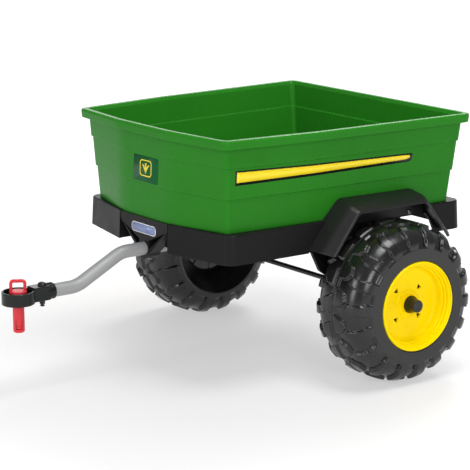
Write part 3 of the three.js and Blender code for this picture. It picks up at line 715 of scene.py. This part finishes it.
def make_tube(sides=48):
    """Hollow tube: outside from rear to front, then back along the bore."""

    def ring(station, radius, shift=0):
        x, z, slope = station
        points = []
        for k in range(sides):
            angle = 2 * math.pi * k / sides
            rise = radius * math.sin(angle)
            points.append((x + shift + rise * math.sin(slope), radius * math.cos(angle),
                           z + rise * math.cos(slope)))
        return points

    stations = tube_stations()
    rings = [ring(stations[0], TUBE_RADIUS - 0.4), ring(stations[0], TUBE_RADIUS, 0.4)]
    rings += [ring(s, TUBE_RADIUS) for s in stations[1:-1]]
    rings += [ring(stations[-1], TUBE_RADIUS, -0.4), ring(stations[-1], TUBE_RADIUS - 0.4)]
    rings += [ring(s, TUBE_BORE) for s in reversed(stations)]
    body = skin(rings, closed=True)
    return cut(body, bolt_hole(170, 210), screw_hole(NOSE_SCREW_X, 0, 215, TUBE_HIGH))


add_smooth("drawbar_tube_bent", make_tube(), "drawbar_grey", "drawbar_tube")


def make_saddle():
    top = DECK_BOTTOM - FIT
    right = [(34, top, 0), (34, SADDLE_EAR, 1), (20, SADDLE_EAR, 3), (18, 232, 5), (10, 224, 6)]
    left = [(-y, z, r) for y, z, r in reversed(right)]
    body = front_prism(rounded(right + left, 5), SADDLE_X - 15, SADDLE_X + 15)
    return tidy(cut(body, rod(along_x(TUBE_HIGH), 170, 240, TUBE_RADIUS + FIT, 48),
                    *[screw_hole(x, y, 275, 290) for x, y in SADDLE_SCREWS]))


add_edged(0.8, "drawbar_saddle_block", make_saddle(), "chassis_black", "drawbar_saddle")

# ---- coupler and its bolt

NECK_TOP = TUBE_LOW + NECK_HALF
NECK_BOTTOM = TUBE_LOW - NECK_HALF


def make_coupler():
    """Ring with an inner web for the pin, square neck and round collar with a top rib."""
    bottom, top, inside = 176.5, 200, RING_RADIUS - 3.5
    web_bottom, web_top, web_hole = 186, 190.5, PIN_RADIUS + 0.5
    profile = rounded([
        (RING_RADIUS, bottom, 1.3), (RING_RADIUS, top, 1.3), (inside, top, 1.1),
        (inside, web_top, 0.8), (web_hole, web_top, 0.7), (web_hole, web_bottom, 0.7),
        (inside, web_bottom, 0.8), (inside, bottom, 1.1)], 4)
    ring = turned(profile, 96, upright_at(RING_X, 0), closed=True)
    section = rounded([(NECK_HALF, NECK_TOP, 2), (-NECK_HALF, NECK_TOP, 2),
                       (-NECK_HALF, NECK_BOTTOM, 2), (NECK_HALF, NECK_BOTTOM, 2)], 5)
    neck = front_prism(section, NECK_REAR, RING_X - 27)
    collar = soft_rod(along_x(TUBE_LOW), COLLAR_REAR, NECK_REAR + 4, COLLAR_RADIUS, 64)
    rib = block(COLLAR_REAR + 3, NECK_REAR + 6, -2.2, 2.2, NECK_TOP - 3,
                TUBE_LOW + COLLAR_RADIUS + 1.2)
    body = join(neck, collar, rib)
    body = cut(body, rod(upright_at(RING_X, 0), web_top, 215, inside, 96),
               rod(upright_at(RING_X, 0), 160, web_bottom, inside, 96),
               rod(upright_at(RING_X, 0), 160, 215, web_hole + 3, 64))
    body = join(body, ring)
    socket = rod(along_x(TUBE_LOW), COLLAR_REAR - 5, TUBE_END + 1, TUBE_RADIUS + FIT, 48)
    return tidy(cut(body, socket, bolt_hole(165, 215)))


add_edged(0.5, "hitch_coupler_ring", make_coupler(), "coupler_black", "hitch_coupler")


def make_coupler_bolt():
    seat = NECK_TOP + FIT
    profile = [(0, seat + 6)]
    for k in range(1, 9):
        angle = math.pi / 2 * k / 8
        profile.append((8 * math.sin(angle), seat + 1 + 5 * math.cos(angle)))
    profile += [(8, seat), (3, seat)]
    end = NECK_BOTTOM - 13
    for k in range(9):
        z = NECK_BOTTOM + 2 - k * 1.6
        profile += [(3, z), (2.6, z - 0.8)]
    profile += [(2.4, end + 0.5), (2.0, end), (0, end)]
    return turned(profile, 40, upright_at(BOLT_X, 0))


def make_nut():
    across = 5.9
    hexagon = [(BOLT_X + across * math.cos(math.pi * k / 3), across * math.sin(math.pi * k / 3))
               for k in range(6)]
    body = prism(hexagon, NECK_BOTTOM - 7.4, NECK_BOTTOM - 2.1)
    cone = turned([(0, NECK_BOTTOM - 8.6), (4.9, NECK_BOTTOM - 7.8), (6.6, NECK_BOTTOM - 6.4),
                   (6.6, NECK_BOTTOM - 1), (0, NECK_BOTTOM - 1)], 48, upright_at(BOLT_X, 0))
    body = boolean(body, "INTERSECT", [cone])
    return cut(body, rod(upright_at(BOLT_X, 0), 150, 180, 3.3, 32))


add_smooth("coupler_bolt_turned", make_coupler_bolt(), "dark_steel", "coupler_bolt")
add_smooth("coupler_washer_pressed",
           tube_ring(upright_at(BOLT_X, 0), 3.3, 7, NECK_BOTTOM - 1.8, NECK_BOTTOM - FIT),
           "dark_steel", "coupler_washer")
add_edged(0.25, "coupler_nut_hex", make_nut(), "dark_steel", "coupler_nut")
add_smooth("coupler_bolt_clip_pressed",
           tube_ring(upright_at(BOLT_X, 0), 3.3, 4.6, NECK_BOTTOM - 11.6, NECK_BOTTOM - 10.2),
           "dark_steel", "coupler_bolt_clip")

# ---- hitch pin


def pin_place(a, b, h):
    """Point of the pin's own frame, turned about the pin's axis."""
    return (RING_X + a * math.cos(PIN_TURN) - b * math.sin(PIN_TURN),
            a * math.sin(PIN_TURN) + b * math.cos(PIN_TURN), h)


def pin_block(a0, a1, b0, b1, z0, z1):
    corners = ((a0, b0), (a1, b0), (a1, b1), (a0, b1))
    return skin([[pin_place(a, b, z) for a, b in corners] for z in (z0, z1)])


def make_pin():
    """Flange on its riser, and the shank with its bore, window and sprung tongue."""
    top = PIN_SEAT + PIN_FLANGE
    profile = [(0, top + 1), (9, top + 0.8)]
    profile += [tuple(p) for p in rounded([(10, top + 0.6, 0), (16, top, 1.2), (16, top - 4, 0.8),
                                           (13, top - 4.4, 1), (13, PIN_SEAT, 0.5),
                                           (PIN_RADIUS, PIN_SEAT, 0.3),
                                           (PIN_RADIUS, PIN_BOTTOM, 3), (0, PIN_BOTTOM, 0)], 5)]
    shaft = turned(profile, 64, pin_place)
    slot = rod(pin_place, PIN_BOTTOM - 2, PIN_BOTTOM + 50, 5, 32)
    window = pin_block(5.5, 12.5, -6, 6, PIN_BOTTOM + 6, PIN_BOTTOM + 24)
    body = cut(shaft, slot, window)
    tongue = pin_block(6, 9, -4.4, 4.4, PIN_BOTTOM + 8, PIN_BOTTOM + 26)
    barb = pin_block(8, 10.9, -3, 3, PIN_BOTTOM + 8, PIN_BOTTOM + 12)
    return tidy(join(body, tongue, barb))


def make_pin_loop():
    """D-shaped handle: a rounded bar bent over the flange, its feet sunk into the flange."""
    foot, half, bend = PIN_SEAT + PIN_FLANGE - 0.4, 12.6, 5
    path = [(half, foot)]
    for centre, start in ((half - bend, 0), (bend - half, math.pi / 2)):
        path += arc((centre, PIN_LOOP_TOP - bend), bend, start, math.pi / 2, 8)
    path.append((-half, foot))
    section = rounded([(3, 2.9, 1.5), (-3, 2.9, 1.5), (-3, -2.9, 1.5), (3, -2.9, 1.5)], 5)
    rings = []
    for i, (b, z) in enumerate(path):
        before, after = path[max(i - 1, 0)], path[min(i + 1, len(path) - 1)]
        along = Vector((after[0] - before[0], after[1] - before[1])).normalized()
        out = Vector((along.y, -along.x))
        rings.append([pin_place(s.x, b + out.x * s.y, z + out.y * s.y) for s in section])
    return skin(rings)


add_edged(0.35, "hitch_pin_moulding", make_pin(), "pin_red", "hitch_pin", body="pin")
add_smooth("hitch_pin_handle", make_pin_loop(), "pin_red", body="pin", sharp=60)

# ---- fenders


def taken_in(edge, by):
    """Fender edge moved in by `by` towards the wheel."""
    return dict(edge, z=edge["z"] - by, top_half=edge["top_half"] - by * 0.5,
                foot_half=edge["foot_half"] - by * 1.3)


def fender_line(edge, thick=0):
    """One edge of the fender from foot to foot, `thick` below its outer surface."""
    edge = taken_in(edge, thick)
    top, foot = edge["top_half"], edge["foot_half"]
    bend = FENDER_BEND - thick
    corners = [(foot, edge["foot_z"], 0), (top, edge["z"], bend), (-top, edge["z"], bend),
               (-foot, edge["foot_z"], 0)]
    return [(FENDER_X + p.x, edge["y"], p.y) for p in rounded(corners, 6)]


def between(line, other, share):
    return [tuple(lerp(a, b, share) for a, b in zip(p, q)) for p, q in zip(line, other)]


def rolled(before, corner, after, back, on):
    """Lines that roll over `corner`, from `back` of the way before it to `on` of the way after."""
    start, end = between(corner, before, back), between(corner, after, on)
    return [between(between(start, corner, k / 4), between(corner, end, k / 4), k / 4)
            for k in range(5)]


def make_fender():
    inner, crease, lip = (fender_line(edge) for edge in (FENDER_INNER, FENDER_CREASE, FENDER_LIP))
    lip_foot = fender_line(taken_in(FENDER_LIP, FENDER_LIP_DROP))
    lip_back = [(x, y - 3, z) for x, y, z in lip_foot]
    inside = [fender_line(edge, FENDER_THICK) for edge in (FENDER_CREASE, FENDER_INNER)]
    lines = [inner, *rolled(inner, crease, lip, 0.16, 0.3),
             *rolled(crease, lip, lip_foot, 0.25, 0.8), lip_foot, lip_back, *inside]
    panel = skin([[line[k] for line in lines] for k in range(len(inner))])
    x0, x1 = FENDER_X - 108, FENDER_X + 108
    y0, y1 = (chassis_side_y(x) + FLARE * 0.3 + 0.4 for x in (x0, x1))
    web = prism([(x0, y0), (x1, y1), (x1, y1 + 5), (x0, y0 + 5)], 289, FENDER_INNER["z"])
    under_line = fender_line(FENDER_INNER, FENDER_THICK * 0.5)
    under = skin([[(x, y + dy, z + dz) for dy, dz in ((-40, 8), (60, -12), (60, -160), (-40, -160))]
                  for x, y, z in under_line])
    web = boolean(web, "INTERSECT", [under])
    body = cut(join(panel, web), tub_space(0.6), chassis_envelope(0.4))
    for x in FENDER_SCREW_X:
        body = cut(body, rod(lambda a, b, h, x=x: (x + a, h, FENDER_SCREW_Z + b), 230, 252,
                             SCREW_HOLE, 20))
    return tidy(body)


fender = make_fender()
for label, side in SIDES:
    # The fenders take the lighter copy of the chassis black, with its painted edge highlights.
    add_edged(0.8, f"fender_{label}_moulding", mirrored(fender, side), "fender_black_highlit",
              f"fender_{label}", slot="chassis_black", angle=35)
    for i, x in enumerate(FENDER_SCREW_X):
        seat = chassis_side_y(x) + FLARE * 0.3 + 5.4 + FIT
        add_screw(f"fender_screw_{label}_{i + 1}",
                  lambda a, b, h, x=x, seat=seat, side=side:
                  (x + a * side, side * (seat + h), FENDER_SCREW_Z + b), 9, head_radius=4.6,
                  head_height=2.6)

# ---- axle and its brackets


def make_bracket():
    top = DECK_BOTTOM - FIT
    foot = arc((0, AXLE_Z), 24, -0.85 * math.pi, 0.7 * math.pi, 16)
    leg = side_prism([(-86, top), *foot, (112, 205), (134, 249), (140, top)], 221, 228)
    flange = block(-86, 140, 198, 228, top - 4, top)
    boss = rod(on_axle(), 208, 230, 16, 48)
    gussets = [side_prism([(x - 2, AXLE_Z + 14), (x + 2, AXLE_Z + 14), (x + 2, top - 3),
                           (x - 2, top - 3)], 216, 222) for x in (-8, 8)]
    body = join(leg, flange, boss, *gussets)
    return tidy(cut(body, rod(on_axle(), 200, 240, AXLE_BORE, 40),
                    *[screw_hole(x, BRACKET_SCREW_Y, 275, 290) for x in BRACKET_SCREW_X]))


bracket = make_bracket()
for label, side in SIDES:
    add_edged(0.8, f"axle_bracket_{label}_casting", mirrored(bracket, side), "chassis_black",
              f"axle_bracket_{label}")
    for name, outer, low, high, look in (("axle_spacer", 8, 230.3, 271, "chassis_black"),
                                         ("axle_washer", 9, 356.9, 357.9, "zinc_steel"),
                                         ("axle_retainer", 9, 358.2, 362, "zinc_steel")):
        mesh = tube_ring(on_axle(0, side), AXLE_BORE, outer, low, high, 48)
        add_smooth(f"{name}_{label}_ring", mesh, look, f"{name}_{label}")

add_smooth("axle_rod", soft_rod(on_axle(), -366, 366, AXLE_RADIUS, 48), "dark_steel", "axle")

# ---- tyres

LUGS = 18
LUG_HEIGHT = 6
PITCH = 360 / LUGS
AROUND = LUGS * 36
LUG_FLANK = 1.3
STAGGER = 6


def polygon_distance(a, b, polygon):
    """Signed distance from points (a, b) to a closed polygon, negative inside."""
    nearest = np.full(a.shape, 1e9)
    inside = np.zeros(a.shape, bool)
    for (x0, y0), (x1, y1) in zip(polygon, polygon[1:] + polygon[:1]):
        ex, ey = x1 - x0, y1 - y0
        t = np.clip(((a - x0) * ex + (b - y0) * ey) / (ex * ex + ey * ey), 0, 1)
        nearest = np.minimum(nearest, np.hypot(a - x0 - t * ex, b - y0 - t * ey))
        if y0 != y1:
            crosses = (y0 > b) != (y1 > b)
            inside ^= crosses & (a < ex * (b - y0) / (y1 - y0) + x0)
    return np.where(inside, -nearest, nearest)


def lug_height(turn, across):
    """Tread height over the carcass at `turn` degrees and `across` mm from the mid-plane."""
    scale = math.radians(1) * WHEEL_RADIUS
    bar = [(-0.4, 76), (0.4, 44), (3.0, 30.5), (8.2, 38), (7.3, 50), (8.4, 76)]
    pad = [(-0.6, 73), (9.8, 73), (9.4, 90), (-0.2, 90)]
    block_outline = [(5.2, 23.5), (9.2, 32), (14.8, 27.5), (16.7, 15.5), (18.6, 5.5), (4.6, 5.5)]
    height = np.zeros(turn.shape)
    for sign in (1, -1):
        u = sign * across
        local = (turn + (0 if sign > 0 else STAGGER)) % PITCH
        best = np.full(turn.shape, 1e9)
        for shift in (-PITCH, 0, PITCH):
            s = (local + shift) * scale
            for outline in (bar, pad, block_outline):
                shape = [(a * scale, b) for a, b in outline]
                best = np.minimum(best, polygon_distance(s, u, shape))
        rise = np.clip(0.5 - best / LUG_FLANK, 0, 1)
        rise = rise * rise * (3 - 2 * rise)
        height = np.maximum(height, rise * (u > 0))
    ring = np.clip(7 - np.abs(across), 0, 1) * 0.55
    height = np.maximum(height, ring)
    seam = np.clip(1.6 - np.abs(across), 0, 1)
    return height * (1 - 0.5 * seam)


def tyre_section():
    """Crown line at an even step: (radius, y) points, normals, lug share and distance across."""
    crown = [(150, 0), (150, 12), (149.2, 27), (146, 41), (140.2, 53), (131.8, 62.8),
             (121.5, 68.6), (112, 70), (103, 70), (94, 70), (89, 70)]
    crown = np.array([(r, -y) for r, y in crown[::-1]][:-1] + crown, float)
    lengths = np.r_[0, np.cumsum(np.hypot(*np.diff(crown, axis=0).T))]
    step = 1.7
    count = int(lengths[-1] / step)
    at = np.linspace(0, lengths[-1], count)
    line = np.stack([catmull(lengths, crown[:, k], at) for k in range(2)], 1)
    tangent = np.gradient(line, axis=0)
    tangent /= np.hypot(*tangent.T)[:, None]
    normal = np.stack([tangent[:, 1], -tangent[:, 0]], 1)
    across = at - lengths[-1] / 2
    share = np.clip((93 - np.abs(across)) / 9, 0, 1)
    return line, normal, share * share * (3 - 2 * share), across


def catmull(knots, values, at):
    """Cubic Hermite interpolation with finite-difference slopes."""
    slopes = np.gradient(values, knots)
    i = np.clip(np.searchsorted(knots, at, side="right") - 1, 0, len(knots) - 2)
    h = knots[i + 1] - knots[i]
    t = (at - knots[i]) / h
    return ((2 * t**3 - 3 * t**2 + 1) * values[i] + (t**3 - 2 * t**2 + t) * h * slopes[i]
            + (-2 * t**3 + 3 * t**2) * values[i + 1] + (t**3 - t**2) * h * slopes[i + 1])


def make_tyre(side):
    """Blow-moulded tyre skin with its tread, dished inner face, and hollow inside."""
    line, normal, share, across = tyre_section()
    turn = np.arange(AROUND) * 360 / AROUND
    grid_turn, grid_across = np.meshgrid(turn, across)
    sink = (1 - lug_height(grid_turn, grid_across)) * LUG_HEIGHT * share[:, None]
    radius = line[:, :1] - sink * normal[:, :1]
    height = line[:, 1:] - sink * normal[:, 1:]
    rows = [(radius[k], height[k]) for k in range(len(line))]

    def plain(r, y):
        return np.full(AROUND, float(r)), np.full(AROUND, float(y))

    groove = np.minimum(turn % 45, 45 - turn % 45)
    depth = np.clip(1.5 - groove * math.radians(1) * 45, 0, 1) * 1.4

    def ribbed(r, y):
        return np.full(AROUND, float(r)), y + depth

    half, disc = WHEEL_HALF, -WHEEL_HALF + 44
    seat = [plain(r, y) for r, y in ((86.6, half), (85.4, half - 0.4), (HUB_SEAT, half - 1.3),
                                     (HUB_SEAT, 65.5), (87, 64), (118, 62), (136, 47), (137, 0),
                                     (136, -47), (118, -63), (104, -64), (61, disc + 5.6),
                                     (34, disc + 6), (8, disc + 6), (8, disc - 8), (29, disc - 8),
                                     (30.5, disc - 7.4), (31, disc - 6), (31.6, disc - 1.2),
                                     (32.6, disc - 0.2))]
    dish = [ribbed(r, disc) for r in (34, 40, 47, 53, 56.5)]
    dish += [plain(r, y) for r, y in ((58.3, disc - 0.6), (59.8, disc - 2.2), (70, disc - 13),
                                      (85, disc - 28), (98, disc - 40.6), (99.8, -half + 1.0),
                                      (101.2, -half + 0.25), (103, -half))]
    rows = [*seat, *dish, *[row for row in rows if row[0].min() > 104 or row[1][0] > 0]]
    count = len(rows)
    angle = np.radians(turn)
    points = np.empty((count, AROUND, 3))
    for k, (r, y) in enumerate(rows):
        points[k, :, 0] = side * r * np.cos(angle)
        points[k, :, 1] = side * y + side * WHEEL_MID_Y
        points[k, :, 2] = AXLE_Z + r * np.sin(angle)
    return mesh_from(points.reshape(-1, 3).tolist(), band_faces(count, AROUND, True, True))


# ---- hubs, caps and bushes


DISC = 40


def make_hub(place):
    """Dished wheel hub: rolled lip, stepped wall, flat disc with holes and pressed dimples."""
    seat = HUB_SEAT - FIT
    corners = [
        (seat, 58, 0), (seat, 69.5, 0.8), (82.6, 71.8, 1), (80.6, 71.8, 0.8), (79.8, 67.5, 1.2),
        (77.6, 66.6, 0.8), (76.9, 61, 0.8), (74.8, 60.2, 0.8), (74, 54.8, 0.8), (72, 54, 0.8),
        (68.5, DISC, 9), (27, DISC, 1.5), (24.5, DISC + 2.4, 1.2), (18.5, DISC + 2.4, 1),
        (17, 48, 0.8), (7.8, 48, 0), (7.8, DISC - 4, 0), (67, DISC - 4, 3), (71, 52, 0),
    ]
    body = turned(rounded(corners, 5), 120, place, closed=True)
    tools = []
    for k in range(4):
        angle = math.pi / 4 + math.pi / 2 * k
        centre = (38.5 * math.cos(angle), 38.5 * math.sin(angle))
        corners = [(a, b, 1) for a, b in arc(centre, 7, angle + math.pi, math.tau * 2 / 3, 2)]
        outline = rounded(corners, 3)
        tools.append(skin([[place(p.x, p.y, h) for p in outline] for h in (DISC - 8, DISC + 8)]))
        for reach, turn, size, deep in ((22.8, angle, 3.4, 2.2), (42, angle + math.pi / 4, 4, 1)):
            at = (reach * math.cos(turn), reach * math.sin(turn))
            top = DISC + 2.4 if reach < 25 else DISC
            bowl = [(0, top - deep), (size * 0.6, top - deep * 0.75), (size, top), (size, top + 4),
                    (0, top + 4)]
            tools.append(turned(bowl, 20, lambda a, b, h, at=at: place(at[0] + a, at[1] + b, h)))
    return cut(body, *tools)


CAP_PROFILE = rounded([
    (0, 69, 0), (4.2, 69, 0.3), (5.2, 70, 0.4), (11.6, 70, 1.2), (12.6, 60, 4), (16.6, 50.5, 1),
    (16.6, 48.3, 0.3), (10, 48.3, 0.3), (10, 66, 1), (0, 66, 0)], 5)


def bush(place, shank_end, seat, outwards):
    """Flanged plastic bush; its flange lies outwards of its seat."""
    face = seat + 1.3 * outwards
    profile = [(AXLE_BORE, shank_end, 0.2), (7.5, shank_end, 0.4), (7.5, seat, 0),
               (9.5, seat, 0.2), (9.5, face, 0.4), (AXLE_BORE, face, 0.3)]
    return turned(rounded(profile, 3), 48, place, closed=True)


for label, side in SIDES:
    wheel = f"{label}_wheel"
    place = on_axle(side * WHEEL_MID_Y, side)
    add_piece(f"tyre_{label}_moulding", make_tyre(side), "tyre_black", f"tyre_{label}", body=wheel)
    for piece, mesh, look, node in (
            (f"hub_{label}_dish", make_hub(place), "hub_yellow", f"hub_{label}"),
            (f"hub_cap_{label}_moulding", turned(CAP_PROFILE, 64, place), "cap_black",
             f"hub_cap_{label}"),
            (f"inner_bush_{label}_ring", bush(place, -21, -34.3, -1), "bush_white",
             f"inner_bush_{label}"),
            (f"outer_bush_{label}_ring", bush(place, 40.5, 48.3, 1), "bush_white",
             f"outer_bush_{label}")):
        add_smooth(piece, mesh, look, node, body=wheel)

# ---- decals


def tub_side_y(x, z, offset):
    """Half width of the tub's side wall at x."""
    plan = [p for p in tub_plan(z, offset) if p.y > 100]
    for before, after in zip(plan, plan[1:]):
        if before.x >= x > after.x and before.y <= after.y + 1:
            return lerp(before.y, after.y, (before.x - x) / (before.x - after.x))
    return plan[-1].y


def side_decal(side, stations, offset):
    """Thin film on the tub side over (x, low z, high z) stations."""
    rings = []
    for x, low, high in stations:
        ring = []
        for lift, heights in ((offset, (low, (low + high) / 2, high)),
                              (DECAL_BACK, (high, (low + high) / 2, low))):
            ring += [(x, side * tub_side_y(x, z, lift), z) for z in heights]
        rings.append(ring)
    return skin(rings)


def stripe(grow):
    """Stations of the tapering side stripe, grown by `grow` on every edge."""
    front, rear, count = 299 + grow, -88 - 2 * grow, 72
    stations = []
    for k in range(count + 1):
        x = lerp(front, rear, k / count)
        t = (front - x) / (front - rear)
        tip = max(0, (t - 0.975) / 0.025)
        low = lerp(393, 396.5, t) - 1.7 * grow
        high = lerp(412, 404.5, t) + grow
        stations.append((x, low + 2.4 * tip, high - 0.6 * tip))
    return stations


for label, side in SIDES:
    add_piece(f"stripe_edge_{label}", side_decal(side, stripe(3), TIER_STEP + DECAL_LAYER),
              "decal_black", slot="tub_green")
    add_piece(f"stripe_{label}", side_decal(side, stripe(0), TIER_STEP + 2 * DECAL_LAYER),
              "decal_yellow", slot="tub_green")


def tub_front_x(z, offset):
    """x of the tub's flat front panel at height z."""
    t = (z - TUB_FOOT["z"]) / (TUB_HEAD["z"] - TUB_FOOT["z"])
    front, bow = (lerp(TUB_FOOT[key], TUB_HEAD[key], t) for key in ("front", "bow"))
    return front + bow + offset


def front_film(outline, lift, base=DECAL_BACK):
    """Thin film on the tub's flat front panel over a (y, z) outline."""
    return skin([[(tub_front_x(z, at), y, z) for y, z in outline] for at in (base, base + lift)])


def rounded_rectangle(y0, y1, z0, z1, radius, steps=6):
    return rounded([(y1, z0, radius), (y1, z1, radius), (y0, z1, radius), (y0, z0, radius)], steps)


add_piece("front_badge", front_film(rounded_rectangle(-41, 41, 365.5, 414, 4), 0.2),
          "decal_green", slot="tub_green")


EMBLEM_BACK = DECAL_BACK + 0.2


def emblem_furrows():
    """Three curved bands that fan out from the foot of the emblem."""
    bands = []
    for lean in (-1, 0, 1):
        left, right = [], []
        for k in range(9):
            t = k / 8
            centre = lean * 9.5 * t**1.6
            width = lerp(1.0, 2.6, t)
            z = lerp(381, 401, t) - 3 * abs(lean) * t
            left.append((centre - width, z))
            right.append((centre + width, z))
        bands.append(front_film(left + right[::-1], DECAL_LAYER, EMBLEM_BACK))
    return bands


frame_outside = rounded_rectangle(-19, 19, 376, 407, 7)
frame_inside = rounded_rectangle(-17, 17, 378, 405, 5.4)
emblem_face = EMBLEM_BACK + DECAL_LAYER
emblem_rings = ((frame_outside, EMBLEM_BACK), (frame_outside, emblem_face),
                (frame_inside, emblem_face), (frame_inside, EMBLEM_BACK))
emblem_frame = skin([[(tub_front_x(p.y, at), p.x, p.y) for p in outline]
                     for outline, at in emblem_rings], closed=True)
add_piece("front_emblem", merge(emblem_frame, *emblem_furrows()), "decal_yellow", slot="tub_green")

for name, size, lift, look in (("nose_plate_rim", 0, 0.25, "plate_rim"),
                               ("nose_plate", 1.6, 0.5, "plate_blue")):
    outline = rounded_rectangle(-40 + size, 40 - size, 268 + size, 287 - size, 8.4 - size)
    add_piece(name, front_prism(outline, CHASSIS_FRONT + 0.02, CHASSIS_FRONT + lift), look,
              slot="drawbar_grey")

# ---- floor, light and camera


def make_floor():
    """Pale studio floor that brightens away from the trailer."""
    mesh = bpy.data.meshes.new("studio_floor")
    size = 30
    corners = [(-size, -size, 0), (size, -size, 0), (size, size, 0), (-size, size, 0)]
    mesh.from_pydata(corners, [], [(0, 1, 2, 3)])
    floor = bpy.data.objects.new("studio_floor", mesh)
    bpy.context.scene.collection.objects.link(floor)
    material = bpy.data.materials.new("studio_floor")
    material.use_nodes = True
    nodes, links = material.node_tree.nodes, material.node_tree.links
    shader = nodes["Principled BSDF"]
    shader.inputs["Base Color"].default_value = (0.42, 0.42, 0.42, 1)
    shader.inputs["Roughness"].default_value = 0.6
    shader.inputs["Specular IOR Level"].default_value = 0.1
    shader.inputs["Emission Color"].default_value = (1, 1, 1, 1)
    gradient = nodes.new("ShaderNodeTexGradient")
    gradient.gradient_type = "SPHERICAL"
    mapping = nodes.new("ShaderNodeMapping")
    mapping.inputs["Scale"].default_value = (0.4, 0.4, 0.4)
    links.new(nodes.new("ShaderNodeTexCoord").outputs["Object"], mapping.inputs["Vector"])
    links.new(mapping.outputs["Vector"], gradient.inputs["Vector"])
    glow = map_range(nodes, links, gradient.outputs["Fac"], 0, 0.85, 0.95, 0.48)
    links.new(glow, shader.inputs["Emission Strength"])
    mesh.materials.append(material)


def add_area(name, location, target, size, power, size_y=None):
    """Soft lamp that faces `target` and that the camera doesn't see."""
    data = bpy.data.lights.new(name, "AREA")
    data.energy = power
    data.size = size
    if size_y:
        data.shape = "RECTANGLE"
        data.size_y = size_y
    lamp = bpy.data.objects.new(name, data)
    lamp.location = location
    lamp.rotation_euler = (Vector(target) - Vector(location)).to_track_quat("-Z", "Y").to_euler()
    lamp.visible_camera = False
    bpy.context.scene.collection.objects.link(lamp)


make_floor()
world = bpy.data.worlds.new("studio")
world.use_nodes = True
sky = world.node_tree.nodes["Background"]
sky.inputs["Color"].default_value = (1, 1, 1, 1)
sky.inputs["Strength"].default_value = 0.33
bpy.context.scene.world = world
add_area("back_key", (-1.8, -1.1, 2.3), (0, 0, 0.25), 1.1, 42)
add_area("overhead", (-0.1, 0.75, 2.2), (-0.1, 0.5, 0), 0.9, 24)
add_area("front_fill", (1.2, 3.2, 1.6), (0, 0, 0.3), 1.3, 40)
add_area("left_strip", (2.6, 0.3, 1.1), (0, 0.2, 0.2), 0.5, 18, 1.5)
add_area("rim_strip", (-2.0, -2.6, 1.35), (0, 0, 0.35), 2.6, 16, 0.9)

scene = bpy.context.scene
scene.view_settings.view_transform = "Standard"

CAMERA_AT = Vector((2.11745, 2.9604, 1.0825))
CAMERA_HEADING = math.radians(233.49)
CAMERA_PITCH = math.radians(-12.95)
CAMERA_ROLL = math.radians(-0.21)
camera_data = bpy.data.cameras.new("camera")
camera_data.lens = 149.6
camera_data.sensor_width = 36
camera_data.clip_end = 100
camera = bpy.data.objects.new("camera", camera_data)
camera.location = CAMERA_AT
look = Vector((math.cos(CAMERA_HEADING) * math.cos(CAMERA_PITCH),
               math.sin(CAMERA_HEADING) * math.cos(CAMERA_PITCH), math.sin(CAMERA_PITCH)))
camera.rotation_mode = "QUATERNION"
camera.rotation_quaternion = (Matrix.Rotation(-CAMERA_ROLL, 4, look)
                              @ look.to_track_quat("-Z", "Y").to_matrix().to_4x4()).to_quaternion()
scene.collection.objects.link(camera)
scene.camera = camera
